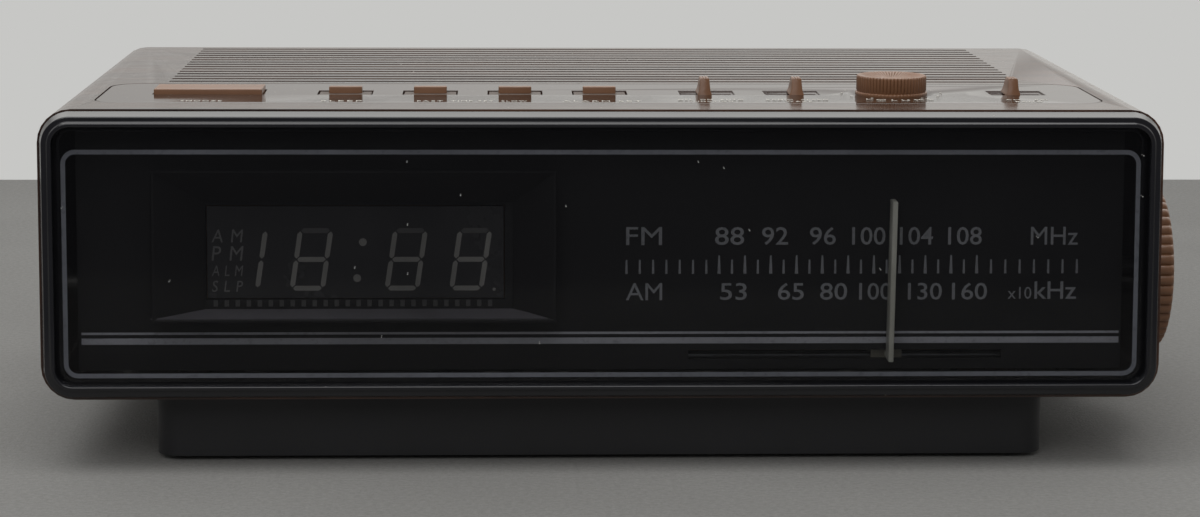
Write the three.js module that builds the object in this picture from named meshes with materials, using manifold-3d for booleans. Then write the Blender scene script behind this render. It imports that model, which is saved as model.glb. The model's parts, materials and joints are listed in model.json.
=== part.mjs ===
// AM/FM digital clock radio in a simulated-wood cabinet, with its working parts inside.
// Millimetres, +Z up, front towards -Y. X = 0 is the middle of the cabinet and Z = 0 the table.
// The last lines move the whole group so that the origin is the bottom centre of its box.
import * as THREE from 'three';
import { mergeVertices } from 'three/addons/utils/BufferGeometryUtils.js';
import Module from 'manifold-3d';

const wasm = await Module();
wasm.setup();

// ---------------------------------------------------------------- driving dimensions
// cabinet
const width = 285;              // left side to right side
const depth = 160;              // bottom of the front edge to the rear edge
const height = 92;              // table to top
const cabinetBottom = 18.5;     // underside of the cabinet above the table
const cornerRadius = 8.5;
const sideWall = 2.6;
const topWall = 3.2;
const leanAngle = 4;            // the front leans back, degrees

// clearances
const gap = 0.35;               // between pieces that seat on, or fit in, each other
const hubGap = 0.6;             // round a piece that passes through a hole

// front
const bezelInset = 0.45;        // cabinet edge left showing round the bezel
const bezelWidth = 3.65;
const bezelProud = 4.2;
const bezelSlope = 1;           // the bezel's outer side leans in by this much
const bezelLand = 1.35;         // its outer land, with a raised one inside
const bezelStep = 0.5;          // the raised land in front of the outer one
const windowThickness = 2;
const skirtDepth = 9;

// control panel, with one row of openings
const panelWidth = 261;
const panelFront = 18;
const panelBack = 62;
const panelThickness = 1.5;
const panelRadius = 8;
const panelLedge = 3.5;
const slotLength = 14.4;
const slotFront = 36.9;
const slotBack = 46.6;
const slotDepth = 0.5;          // recess that a slider moves in

// keys and knobs
const keyWidth = 8.7;
const keyProud = 1.5;
const keyTravel = 1.2;
const keyRibFront = 42.2;        // a key is a flush plate with a raised rib along its back
const keyPitch = 22.4;
const firstKeyX = -67.2;
const snoozeLeft = -117.1;
const snoozeRight = -88.8;
const snoozeFront = 37.2;
const snoozeBack = 48.8;
const snoozeProud = 1.35;
const sliderWidth = 3.8;
const sliderTopWidth = 2.5;
const sliderTopDepth = 4.7;     // front to back
const sliderTopSet = 1;         // front edge of its top behind the front of its foot
const sliderProud = 4.3;
const volumeX = 77.6;
const volumeY = 41;
const volumeRadius = 9.25;
const volumeProud = 4.95;
const volumeRibs = 60;
const volumeDish = 11.5;        // radius of the dish round the volume knob
const dishDepth = 0.9;
const dishSlope = 1.6;          // how much smaller its floor is
const volumeFlange = 0.35;      // flange at the bottom of the knob, beyond its ribs
const shaftRadius = 3;
const hubWall = 0.7;

// grille
const grilleHalfWidth = 116.5;
const grilleFront = 66.5;
const groovePitch = 6.2;
const grooveWidth = 2.2;
const grilleRearMargin = 4;
const grooveDepth = 1.3;

// tuning knob and dial
const tuningY = 39;
const tuningZ = 45.5;
const knobRadius = 21.8;
const knobProud = 7.5;          // knob's outer face beyond the cabinet's side
const knobRibs = 48;
const dialMargin = 8.5;         // dial backplate's edges to the cabinet's sides
const dialSet = 7;              // dial backplate's face behind the front of the cabinet
const dialThickness = 1.5;
const dialBottom = 24.5;
const dialTop = 85.5;
const cordY = 17;               // the dial cord and its pulleys lie in this plane
const cordBottom = 27;
const cordTop = 66;
const cordLeft = 8.35;
const cordRadius = 0.35;
const cordDrumRadius = 22;      // centre line of the cord on the drum
const grooveRadius = 3.5;       // bottom of a pulley's groove
const pulleyWidth = 2.2;
const studRadius = 1.4;
const pointerX = 73.6;
const pointerWidth = 1.3;
const pointerBottom = 27.4;
const pointerTop = 68.4;
const pointerSet = 0.9;         // pointer's front edge behind the front of the cabinet
const railY = 12.2;
const railRadius = 1;

// clock display
const displayLeft = -101;
const displayRight = -25.5;
const displayBottom = 43;
const displayTop = 66.5;

// plinth and what holds it
const plinthSideMargin = 27.2;
const plinthFront = 9.9;
const plinthRearMargin = 10;
const plinthBottom = 1.2;
const plinthRadius = 6;
const plinthWall = 2.5;
const screwSideInset = 9.3;
const screwInset = 11.6;        // screws in from the plinth's front and back
const screwRadius = 1.6;
const screwHead = 4;
const footRadius = 6;
const footSideInset = 27.3;

// inside
const speakerX = -40;
const speakerY = 110;
const speakerRadius = 38;
const boardThickness = 1.6;
const switchBoardDrop = 17;     // switch board below the top of the cabinet
const mainBoardZ = 24;
const glandX = -100;
const glandZ = 34;
const glandRadius = 4.2;
const glandNose = 6;            // gland beyond the cabinet's rear edge
const coverThickness = 2.4;
const ventCount = 12;
const ventPitch = 11;
const ventLeft = -30;
const ventWidth = 2.6;
const ventLength = 18;
const ventRows = [32, 60];      // bottoms of the two rows of vents

// ---------------------------------------------------------------- worked-out places
const half = width / 2;
const lean = Math.tan(THREE.MathUtils.degToRad(leanAngle));
const leanAt = (z) => (z - cabinetBottom) * lean;
const panelTopZ = height;
const panelBottomZ = height - panelThickness;
const sideX = half + knobProud;
const hubRadius = shaftRadius + gap + hubWall;
const cordLineRadius = grooveRadius + cordRadius + gap;
const slotY = (slotFront + slotBack) / 2;
const plinthHalf = half - plinthSideMargin;
const screwX = plinthHalf - screwSideInset;
const footX = plinthHalf - footSideInset;
const plinthBack = depth - plinthRearMargin;
const screwFront = plinthFront + screwInset;
const screwBack = plinthBack - screwInset;
const switchBoardZ = height - switchBoardDrop;
const dialHalf = half - dialMargin;
const grooveCount = 1 + Math.floor(
  (depth - grilleRearMargin - grilleFront - grooveWidth) / groovePitch);

// ---------------------------------------------------------------- materials
const material = (color, roughness, metalness = 0) =>
  new THREE.MeshStandardMaterial({ color, roughness, metalness });
const woodLook = material(0x4a2c20, 0.35);
const blackGloss = material(0x131315, 0.2);
const blackMatte = material(0x171717, 0.6);
const smoke = material(0x0c0c0e, 0.08);
const panelBrown = material(0x3b2a23, 0.25);
const keyBrown = material(0x4c392f, 0.45);
const offWhite = material(0xd8d4c4, 0.5);
const greyPlastic = material(0x6d6d6a, 0.55);
const boardBrown = material(0x8a5a2b, 0.6);
const steel = material(0x9a9c9e, 0.35, 0.9);
const darkSteel = material(0x55575a, 0.45, 0.9);
const copper = material(0xb06a3a, 0.4, 0.8);
const rubber = material(0x1a1a1a, 0.9);
const paper = material(0x2a2724, 0.85);
const glass = material(0xdfe4e6, 0.1);

// ---------------------------------------------------------------- geometry helpers
// Only the positions, with shared vertices merged and the triangles that this flattens left out.
function merged(geometry) {
  const bare = new THREE.BufferGeometry();
  bare.setAttribute('position', geometry.getAttribute('position').clone());
  if (geometry.index) bare.setIndex(geometry.index.clone());
  const clean = mergeVertices(bare, 1e-4);
  const kept = [];
  const index = clean.index.array;
  for (let i = 0; i < index.length; i += 3) {
    const [a, b, c] = [index[i], index[i + 1], index[i + 2]];
    if (a !== b && b !== c && c !== a) kept.push(a, b, c);
  }
  clean.setIndex(kept);
  return clean;
}

function toSolid(geometry) {
  const clean = merged(geometry);
  return new wasm.Manifold(new wasm.Mesh({
    numProp: 3,
    vertProperties: new Float32Array(clean.attributes.position.array),
    triVerts: new Uint32Array(clean.index.array),
  }));
}

function toGeometry(solid) {
  const mesh = solid.getMesh();
  const geometry = new THREE.BufferGeometry();
  geometry.setAttribute('position', new THREE.BufferAttribute(mesh.vertProperties, 3));
  geometry.setIndex(new THREE.BufferAttribute(mesh.triVerts, 1));
  return geometry;
}

function cut(geometry, tools) {
  let solid = toSolid(geometry);
  for (const tool of tools) solid = solid.subtract(toSolid(tool));
  return toGeometry(solid);
}

function join(geometries) {
  let solid = toSolid(geometries[0]);
  for (const piece of geometries.slice(1)) solid = solid.add(toSolid(piece));
  return toGeometry(solid);
}

// Turns the faces of a closed mesh outward.
function outward(geometry) {
  const position = geometry.attributes.position;
  const index = geometry.index.array;
  const [a, b, c] = [new THREE.Vector3(), new THREE.Vector3(), new THREE.Vector3()];
  let volume = 0;
  for (let i = 0; i < index.length; i += 3) {
    a.fromBufferAttribute(position, index[i]);
    b.fromBufferAttribute(position, index[i + 1]);
    c.fromBufferAttribute(position, index[i + 2]);
    volume += a.dot(b.cross(c));
  }
  if (volume < 0) index.reverse();
  return geometry;
}

function box(x0, x1, y0, y1, z0, z1) {
  const geometry = new THREE.BoxGeometry(x1 - x0, y1 - y0, z1 - z0);
  return geometry.translate((x0 + x1) / 2, (y0 + y1) / 2, (z0 + z1) / 2);
}

// Rounded rectangle from two corners, as a shape or as a hole.
function roundedRect(x0, x1, y0, y1, radius, kind = THREE.Shape) {
  const path = new kind();
  path.absarc(x1 - radius, y0 + radius, radius, -Math.PI / 2, 0);
  path.absarc(x1 - radius, y1 - radius, radius, 0, Math.PI / 2);
  path.absarc(x0 + radius, y1 - radius, radius, Math.PI / 2, Math.PI);
  path.absarc(x0 + radius, y0 + radius, radius, Math.PI, Math.PI * 1.5);
  path.closePath();
  return path;
}

// A plan shape (X, Y) extruded from z0 up to z1.
function plate(shape, z0, z1, segments = 3) {
  const geometry = new THREE.ExtrudeGeometry(shape, {
    depth: z1 - z0, bevelEnabled: false, curveSegments: segments,
  });
  return geometry.translate(0, 0, z0);
}

// A front-view shape (X, Z) extruded from y0 back to y1.
function frontPrism(shape, y0, y1, segments = 3) {
  const geometry = new THREE.ExtrudeGeometry(shape, {
    depth: y1 - y0, bevelEnabled: false, curveSegments: segments,
  });
  return geometry.rotateX(Math.PI / 2).translate(0, y1, 0);
}

// A side-view shape (Y, Z) extruded from x0 to x1.
function sidePrism(shape, x0, x1, segments = 3) {
  const geometry = new THREE.ExtrudeGeometry(shape, {
    depth: x1 - x0, bevelEnabled: false, curveSegments: segments,
  });
  geometry.rotateX(Math.PI / 2).rotateZ(Math.PI / 2);
  return geometry.translate(x0, 0, 0);
}

// A profile of [radius, height] points turned round an axis through a point.
// The profile starts and ends on the axis, or closes on itself.
function turned(profile, axis, [x, y, z], segments = 24) {
  const points = profile.map(([radius, along]) => new THREE.Vector2(radius, along));
  const geometry = new THREE.LatheGeometry(points, segments);
  if (axis === 'x') geometry.rotateZ(-Math.PI / 2);
  if (axis === 'z') geometry.rotateX(Math.PI / 2);
  geometry.translate(x, y, z);
  return outward(merged(geometry));
}

function rod(radius, from, to, axis, centre, segments = 16) {
  return turned([[0, from], [radius, from], [radius, to], [0, to]], axis, centre, segments);
}

function ring(inner, outer, from, to, axis, centre, segments = 24) {
  const profile = [[inner, from], [outer, from], [outer, to], [inner, to], [inner, from]];
  return turned(profile, axis, centre, segments);
}

// Closed surface through rows of points: each row is a loop, and the last row joins the first.
function ringOfLoops(loops) {
  const count = loops[0].length;
  const positions = loops.flat().flat();
  const index = [];
  for (let i = 0; i < loops.length; i += 1) {
    const next = (i + 1) % loops.length;
    for (let j = 0; j < count; j += 1) {
      const after = (j + 1) % count;
      const [p, q] = [i * count + j, i * count + after];
      const [r, s] = [next * count + after, next * count + j];
      index.push(p, q, r, p, r, s);
    }
  }
  const geometry = new THREE.BufferGeometry();
  geometry.setAttribute('position', new THREE.Float32BufferAttribute(positions, 3));
  geometry.setIndex(index);
  return outward(geometry);
}

// Closed solid through stacked rectangles centred on x, each [half width, front, back, z].
function stack(x, levels) {
  const positions = [];
  for (const [w, front, back, z] of levels) {
    positions.push(x - w, front, z, x + w, front, z, x + w, back, z, x - w, back, z);
  }
  const index = [0, 2, 1, 0, 3, 2];
  for (let i = 0; i + 1 < levels.length; i += 1) {
    for (let j = 0; j < 4; j += 1) {
      const [p, q] = [i * 4 + j, i * 4 + ((j + 1) % 4)];
      index.push(p, q, q + 4, p, q + 4, p + 4);
    }
  }
  const last = (levels.length - 1) * 4;
  index.push(last, last + 1, last + 2, last, last + 2, last + 3);
  const geometry = new THREE.BufferGeometry();
  geometry.setAttribute('position', new THREE.Float32BufferAttribute(positions, 3));
  geometry.setIndex(index);
  return outward(geometry);
}

// Points of a rounded rectangle in the front view, as seen from the front of the cabinet,
// set in from the cabinet's outline.
function cabinetOutline(inset, steps = 6) {
  const radius = Math.max(cornerRadius - inset, 0.3);
  const [x, top, bottom] = [half - inset, height - inset, cabinetBottom + inset];
  const corners = [
    [x - radius, bottom + radius, -90], [x - radius, top - radius, 0],
    [-x + radius, top - radius, 90], [-x + radius, bottom + radius, 180],
  ];
  return corners.flatMap(([cx, cz, start]) => Array.from({ length: steps + 1 }, (_, i) => {
    const angle = THREE.MathUtils.degToRad(start + (90 * i) / steps);
    return [cx + radius * Math.cos(angle), cz + radius * Math.sin(angle)];
  }));
}

// Leans a piece made upright back with the front of the cabinet.
function leanBack(geometry) {
  const position = geometry.attributes.position;
  for (let i = 0; i < position.count; i += 1) {
    position.setY(i, position.getY(i) + leanAt(position.getZ(i)));
  }
  return geometry;
}

// Round cord or wire along a line of points, with flat ends.
function cordAlong(points, radius, sides = 6) {
  const positions = [];
  let side = null;
  points.forEach((point, i) => {
    const before = points[Math.max(i - 1, 0)];
    const after = points[Math.min(i + 1, points.length - 1)];
    const along = after.clone().sub(before).normalize();
    if (!side) side = new THREE.Vector3(0, 1, 0).cross(along).normalize();
    side.sub(along.clone().multiplyScalar(side.dot(along))).normalize();
    const up = along.clone().cross(side);
    for (let j = 0; j < sides; j += 1) {
      const angle = (Math.PI * 2 * j) / sides;
      const offset = side.clone().multiplyScalar(radius * Math.cos(angle));
      offset.add(up.clone().multiplyScalar(radius * Math.sin(angle)));
      positions.push(...point.clone().add(offset).toArray());
    }
  });
  const index = [];
  for (let i = 0; i + 1 < points.length; i += 1) {
    for (let j = 0; j < sides; j += 1) {
      const [p, q] = [i * sides + j, i * sides + ((j + 1) % sides)];
      index.push(p, q, q + sides, p, q + sides, p + sides);
    }
  }
  const last = (points.length - 1) * sides;
  for (let j = 1; j + 1 < sides; j += 1) {
    index.push(0, j + 1, j, last, last + j, last + j + 1);
  }
  const geometry = new THREE.BufferGeometry();
  geometry.setAttribute('position', new THREE.Float32BufferAttribute(positions, 3));
  geometry.setIndex(index);
  return outward(geometry);
}

// A disc's edge with rounded ribs, as a shape.
function ribbedShape(radius, ribs, ribDepth) {
  const points = [];
  for (let i = 0; i < ribs; i += 1) {
    for (const [share, sink] of [[0, 1], [0.5, 0]]) {
      const angle = (Math.PI * 2 * (i + share)) / ribs;
      const r = radius - sink * ribDepth;
      points.push(new THREE.Vector2(r * Math.cos(angle), r * Math.sin(angle)));
    }
  }
  return new THREE.Shape(points);
}

const assembly = new THREE.Group();

function add(name, geometry, look) {
  const mesh = new THREE.Mesh(merged(geometry), look);
  mesh.name = name;
  assembly.add(mesh);
}

// ---------------------------------------------------------------- cabinet
function grilleCuts() {
  const cuts = [];
  const slotSpans = [[-76, -54], [-51, -29], [-26, -4], [-112, -84]];
  for (let i = 0; i < grooveCount; i += 1) {
    const front = grilleFront + i * groovePitch;
    const back = front + grooveWidth;
    cuts.push(box(-grilleHalfWidth, grilleHalfWidth, front, back, height - grooveDepth, height + 1));
    for (const [left, right] of slotSpans) {
      cuts.push(box(left, right, front, back, height - topWall - 1, height - grooveDepth + 0.2));
    }
  }
  return cuts;
}

const screwPlaces = [
  ['front_left', -screwX, screwFront], ['front_right', screwX, screwFront],
  ['rear_left', -screwX, screwBack], ['rear_right', screwX, screwBack],
];
const bossTop = cabinetBottom + sideWall + 4.6;
const screwTip = bossTop - 1.4;

function cabinet() {
  const shell = new THREE.Shape(cabinetOutline(0).map(([x, z]) => new THREE.Vector2(x, z)));
  const inner = half - sideWall;
  const innerRadius = cornerRadius - sideWall;
  shell.holes.push(roundedRect(
    -inner, inner, cabinetBottom + sideWall, height - topWall, innerRadius, THREE.Path));
  const sleeve = frontPrism(shell, 0, depth);
  const position = sleeve.attributes.position;
  for (let i = 0; i < position.count; i += 1) {
    if (position.getY(i) < 1) position.setY(i, leanAt(position.getZ(i)));
  }
  const bosses = screwPlaces.map(([, x, y]) =>
    rod(4.5, cabinetBottom + sideWall - 0.5, bossTop, 'z', [x, y, 0]));
  const pilots = screwPlaces.map(([, x, y]) =>
    rod(screwRadius + gap, cabinetBottom - 1, screwTip + 0.6, 'z', [x, y, 0]));
  const [openX, openY] = [plinthHalf - 4.3, plinthFront + 4.6];
  const opening = [
    box(-openX, openX, screwFront + 10.5, screwBack - 10.5, cabinetBottom - 1, bossTop),
    box(12 - screwX, screwX - 12, openY, depth - openY, cabinetBottom - 1, bossTop),
  ];
  const pocketHalf = panelWidth / 2 + gap;
  const pocket = plate(
    roundedRect(-pocketHalf, pocketHalf, panelFront - gap, panelBack + gap, panelRadius + gap),
    panelBottomZ - gap, height + 1, 4);
  const windowHalf = panelWidth / 2 - panelLedge;
  const underPanel = plate(
    roundedRect(-windowHalf, windowHalf, panelFront + panelLedge, panelBack - panelLedge, 5),
    height - topWall - 1, height);
  const shaftHole = rod(shaftRadius + hubGap, half - 8, half + 1, 'x', [0, tuningY, tuningZ]);
  return cut(join([sleeve, ...bosses]),
    [...pilots, ...opening, pocket, underPanel, shaftHole, ...grilleCuts()]);
}
add('cabinet', cabinet(), woodLook);

// ---------------------------------------------------------------- front
const landInset = bezelInset + bezelSlope + 0.2;
const stepInset = landInset + bezelLand;

// Each profile point is [inset from the cabinet's outline, distance behind its front edge].
function bezel() {
  const lip = bezelInset + bezelWidth;
  const skirt = sideWall + gap;
  const topSkirt = topWall - sideWall;
  const profile = [
    [bezelInset, -gap], [landInset - 0.3, 0.3 + bezelStep - bezelProud],
    [landInset, bezelStep - bezelProud], [stepInset - 0.25, bezelStep - bezelProud],
    [stepInset + 0.25, -bezelProud], [lip - 0.3, -bezelProud], [lip, 0.3 - bezelProud], [lip, gap], [lip + 2.5, gap], [lip + 2.5, 2],
    [lip + 0.9, 2], [lip + 0.9, skirtDepth], [skirt + topSkirt, skirtDepth],
    [skirt + topSkirt, -gap],
  ];
  const loops = profile.map(([inset, y]) =>
    cabinetOutline(inset).map(([x, z]) => [x, y, z]));
  return leanBack(ringOfLoops(loops));
}
add('front_bezel', bezel(), blackGloss);

const windowInset = bezelInset + bezelWidth + gap;
function frontWindow() {
  const outline = cabinetOutline(windowInset).map(([x, z]) => new THREE.Vector2(x, z));
  return leanBack(frontPrism(new THREE.Shape(outline), -windowThickness, 0));
}
add('front_window', frontWindow(), smoke);

// ---------------------------------------------------------------- clock display
// Rectangles [left, right, bottom, top, distance back] joined in order into a closed ring.
function rectRing(levels) {
  return ringOfLoops(levels.map(([x0, x1, z0, z1, y]) =>
    [[x0, y, z0], [x1, y, z0], [x1, y, z1], [x0, y, z1]]));
}

add('display_housing', leanBack(rectRing([
  [displayLeft - 13.5, displayRight + 13.5, displayBottom - 5.2, displayTop + 10, 0.8],
  [displayLeft - 12.3, displayRight + 12.3, displayBottom - 4, displayTop + 8.8, 0.8],
  [displayLeft - 0.6, displayRight + 0.6, displayBottom - 1.2, displayTop + 1.2, dialSet - gap],
  [displayLeft - 1.8, displayRight + 1.8, displayBottom - 2.4, displayTop + 2.4, dialSet - gap],
])), blackMatte);

add('display_panel', leanBack(
  box(displayLeft, displayRight, dialSet, dialSet + 3, displayBottom, displayTop)), blackMatte);

add('clock_board', leanBack(
  box(displayLeft - 7, displayRight + 4, 14, 14 + boardThickness, 27, 80)), boardBrown);

// ---------------------------------------------------------------- dial
const strandA = half - 21.5;    // the cord's two strands meet the drum at these two places
const strandB = half - 19.5;
const pulleys = [
  ['pulley_lower_right', strandA - cordLineRadius, cordBottom + cordLineRadius],
  ['pulley_upper_right', strandB - cordLineRadius, cordTop - cordLineRadius],
  ['pulley_lower_left', cordLeft + cordLineRadius, cordBottom + cordLineRadius],
  ['pulley_upper_left', cordLeft + cordLineRadius, cordTop - cordLineRadius],
];
const railEnds = [16, half - 34];

function dialBackplate() {
  const behind = dialSet + dialThickness;
  const slot = box(railEnds[0] + 6, railEnds[1] - 5.5, dialSet - 1, behind + 1,
    pointerBottom - gap, pointerBottom + 2);
  const displayHole = box(displayLeft - gap, displayRight + gap, dialSet - 1, behind + 1,
    displayBottom - gap, displayTop + gap);
  const face = box(-dialHalf, dialHalf, dialSet, behind, dialBottom, dialTop);
  const studs = pulleys.map(([, x, z]) =>
    rod(studRadius, behind - 0.5, cordY + pulleyWidth / 2 + 2 - leanAt(z), 'y', [x, 0, z], 16));
  const ears = railEnds.map((x) =>
    box(x - 1, x + 1, behind - 0.5, railY + 2, cordBottom - 2, cordBottom + 2.5));
  const bores = railEnds.map((x) =>
    rod(railRadius + gap, x - 2, x + 2, 'x', [0, railY, cordBottom], 16));
  return leanBack(cut(join([cut(face, [slot, displayHole]), ...studs, ...ears]), bores));
}
add('dial_backplate', dialBackplate(), blackMatte);

const railLeanedY = railY + leanAt(cordBottom);
add('pointer_rail', rod(railRadius, railEnds[0] - 1.6, railEnds[1] + 1.6, 'x',
  [0, railLeanedY, cordBottom], 16), steel);

const pulleyFlange = grooveRadius + 1.3;
for (const [name, x, z] of pulleys) {
  const [w, bore] = [pulleyWidth / 2, studRadius + gap];
  const profile = [
    [bore, -w], [pulleyFlange, -w], [pulleyFlange, -w + 0.3], [grooveRadius, -0.25],
    [grooveRadius, 0.25], [pulleyFlange, w - 0.3], [pulleyFlange, w], [bore, w], [bore, -w],
  ];
  add(name, turned(profile, 'y', [x, cordY, z], 16), offWhite);
}

// The cord runs from the back of the drum over its top, down to the lower pulleys, along the
// carriage, up the left side, back along the top and under the drum.
function dialCord() {
  const points = [];
  const at = (x, y, z) => points.push(new THREE.Vector3(x, y, z));
  const round = (from, to, steps, place) => {
    for (let i = 0; i <= steps; i += 1) place(THREE.MathUtils.degToRad(from + ((to - from) * i) / steps));
  };
  const r = cordLineRadius;
  const onDrum = (x) => (a) =>
    at(x, tuningY + cordDrumRadius * Math.cos(a), tuningZ + cordDrumRadius * Math.sin(a));
  const onPulley = (index) => (a) =>
    at(pulleys[index][1] + r * Math.cos(a), cordY, pulleys[index][2] + r * Math.sin(a));
  round(10, 180, 12, onDrum(strandA));
  round(0, -90, 4, onPulley(0));
  round(270, 180, 4, onPulley(2));
  round(180, 90, 4, onPulley(3));
  round(90, 0, 4, onPulley(1));
  round(180, 350, 12, onDrum(strandB));
  return cordAlong(points, cordRadius);
}
add('dial_cord', dialCord(), offWhite);

// The pointer is a blade in front of the dial whose foot reaches back through the slot.
const bladeBack = dialSet - 0.6;
const footY = railLeanedY - 2.2 - gap;

function pointer() {
  const [left, right] = [pointerX - pointerWidth / 2, pointerX + pointerWidth / 2];
  const blade = leanBack(box(left, right, pointerSet, bladeBack, pointerBottom, pointerTop));
  const foot = box(left, right, bladeBack + leanAt(pointerBottom) - 0.5, footY,
    pointerBottom, pointerBottom + 1.6);
  return join([blade, foot]);
}
add('dial_pointer', pointer(), offWhite);

function carriage() {
  const block = box(pointerX - 4, pointerX + 4, railLeanedY - 2.2, cordY + 2.2,
    cordBottom - 2, cordBottom + 3.6);
  const railBore = rod(railRadius + gap, -5, 5, 'x', [pointerX, railLeanedY, cordBottom], 16);
  const cordBore = rod(cordRadius + gap, -5, 5, 'x', [pointerX, cordY, cordBottom], 12);
  return cut(block, [railBore, cordBore]);
}
add('pointer_carriage', carriage(), offWhite);

add('dial_lamp', turned([[0, 0], [3, 0], [3, 9], [2.2, 12], [0, 13]], 'x', [60, 22, 71], 20), glass);

// ---------------------------------------------------------------- tuning knob and its shaft
const knobBack = half + gap + 0.15;
const shaftEnd = half + knobProud - 2.5;
const drumCentre = (strandA + strandB) / 2;

function drum() {
  const groove = cordDrumRadius - cordRadius - gap;
  const flange = cordDrumRadius + 0.9;
  const bore = shaftRadius + gap;
  const [a, b] = [strandA - drumCentre, strandB - drumCentre];
  const profile = [
    [bore, a - 1.2], [flange, a - 1.2], [flange, a - 0.9], [groove, a - 0.4], [groove, a + 0.4],
    [flange, a + 0.9], [flange, b - 0.9], [groove, b - 0.4], [groove, b + 0.4],
    [flange, b + 0.9], [flange, b + 1.2], [bore, b + 1.2], [bore, a - 1.2],
  ];
  return turned(profile, 'x', [drumCentre, tuningY, tuningZ], 28);
}
add('tuning_drum', drum(), offWhite);

add('tuning_shaft', rod(shaftRadius, half - 54, shaftEnd, 'x', [0, tuningY, tuningZ]), steel);

function tuningKnob() {
  const ribs = plate(ribbedShape(knobRadius, knobRibs, 0.7), 0, sideX - knobBack - 0.8);
  const disc = turned([[0, 0.4], [knobRadius - 0.7, 0.4], [knobRadius - 0.7, sideX - knobBack - 0.8],
    [knobRadius - 1.5, sideX - knobBack], [0, sideX - knobBack]], 'z', [0, 0, 0], 48);
  const bore = rod(shaftRadius + gap, -1, shaftEnd - knobBack + gap, 'z', [0, 0, 0]);
  const knob = cut(join([ribs, disc]), [bore]);
  return knob.rotateY(Math.PI / 2).translate(knobBack, tuningY, tuningZ);
}
add('tuning_knob', tuningKnob(), keyBrown);

function tuningCapacitor() {
  const body = box(half - 64, half - 42.5, tuningY - 13, tuningY + 13, mainBoardZ + 2, tuningZ + 16);
  const bore = rod(shaftRadius + gap, half - 54 - gap, half - 40, 'x', [0, tuningY, tuningZ]);
  return cut(body, [bore]);
}
add('tuning_capacitor', tuningCapacitor(), greyPlastic);

// ---------------------------------------------------------------- control panel
const keyNames = ['sleep', 'fast', 'slow', 'alarm'];
const keyCentres = keyNames.map((_, i) => firstKeyX + i * keyPitch);
// name, slot centre, knob's place in the slot at rest
const sliders = [
  ['function', 28.4, -0.7],
  ['alarm_mode', 51, 1.1],
  ['band', 111, -1.3],
];

const stemHalf = 1.2;
const sliderReach = (slotLength - sliderWidth) / 2 - gap;   // travel each way from the slot's middle
const slitHalf = sliderReach + stemHalf + gap;

function controlPanel() {
  const panelHalf = panelWidth / 2;
  const shape = roundedRect(-panelHalf, panelHalf, panelFront, panelBack, panelRadius);
  const [under, over] = [panelBottomZ - 1, panelTopZ + 1];
  const slot = (x, bottom) =>
    box(x - slotLength / 2, x + slotLength / 2, slotFront, slotBack, bottom, over);
  const centre = [volumeX, volumeY, 0];
  const floor = panelTopZ - dishDepth;
  const openings = [
    box(snoozeLeft - gap, snoozeRight + gap, snoozeFront - gap, snoozeBack + gap, under, over),
    rod(hubRadius + hubGap, under, over, 'z', centre),
    turned([[0, floor], [volumeDish - dishSlope, floor], [volumeDish, panelTopZ], [volumeDish, over],
      [0, over]], 'z', centre, 32),
    ...keyCentres.map((x) => slot(x, under)),
    ...sliders.flatMap(([, x]) => [
      slot(x, panelTopZ - slotDepth),
      box(x - slitHalf, x + slitHalf, slotY - stemHalf - gap, slotY + stemHalf + gap, under, over),
    ]),
  ];
  return cut(plate(shape, panelBottomZ, panelTopZ, 6), openings);
}
add('control_panel', controlPanel(), panelBrown);

// ---------------------------------------------------------------- keys
const flangeTop = panelBottomZ - 0.5;
const flangeBottom = flangeTop - 2.4;
const switchTop = switchBoardZ + boardThickness + gap + 7;
const stemBottom = switchTop + keyTravel + gap;
const keyFall = 0.2;
const plateDrop = 0.3;          // a key's plate below the panel's top

// Side view of a key's rib: the front face is upright and the top falls slightly to the back.
function capShape(front, back, proud, fall) {
  const [frontTop, backTop] = [panelTopZ + proud, panelTopZ + proud - fall];
  const round = 0.35;
  const shape = new THREE.Shape();
  shape.moveTo(front, flangeBottom + 0.3);
  shape.lineTo(back, flangeBottom + 0.3);
  shape.lineTo(back, backTop - round);
  shape.quadraticCurveTo(back, backTop, back - round, backTop);
  shape.lineTo(front + round, frontTop);
  shape.quadraticCurveTo(front, frontTop, front, frontTop - round);
  return shape;
}

function key(left, right, front, back, ribFront, proud, fall, wing) {
  const x = (left + right) / 2;
  const y = (front + back) / 2;
  const pieces = [
    sidePrism(capShape(ribFront, back, proud, fall), left, right),
    box(left - wing - 1.4, right + wing + 1.4, front - 1.5, back + 1.5, flangeBottom, flangeTop),
    box(x - 1.6, x + 1.6, y - 1.6, y + 1.6, stemBottom, flangeBottom + 0.4),
  ];
  if (wing > 0) {
    pieces.push(box(left - wing, right + wing, front, back - 0.2,
      flangeBottom + 0.3, panelTopZ - plateDrop));
  }
  return join(pieces);
}

function keySwitch(x, y) {
  const base = switchBoardZ + boardThickness + gap;
  return join([
    box(x - 4, x + 4, y - 4, y + 4, base, base + 5.4),
    rod(1.5, base + 5, switchTop, 'z', [x, y, 0], 16),
  ]);
}

add('snooze_bar', key(snoozeLeft, snoozeRight, snoozeFront, snoozeBack, snoozeFront, snoozeProud,
  0, 0), keyBrown);
add('snooze_switch',
  keySwitch((snoozeLeft + snoozeRight) / 2, (snoozeFront + snoozeBack) / 2), greyPlastic);

keyNames.forEach((name, i) => {
  const x = keyCentres[i];
  const wing = slotLength / 2 - gap - keyWidth / 2;
  add(`${name}_button`, key(x - keyWidth / 2, x + keyWidth / 2,
    slotFront + gap, slotBack - gap, keyRibFront, keyProud, keyFall, wing), keyBrown);
  add(`${name}_switch`, keySwitch(x, slotY), greyPlastic);
});

// ---------------------------------------------------------------- sliders
const sliderFlange = 5.5;

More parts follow.
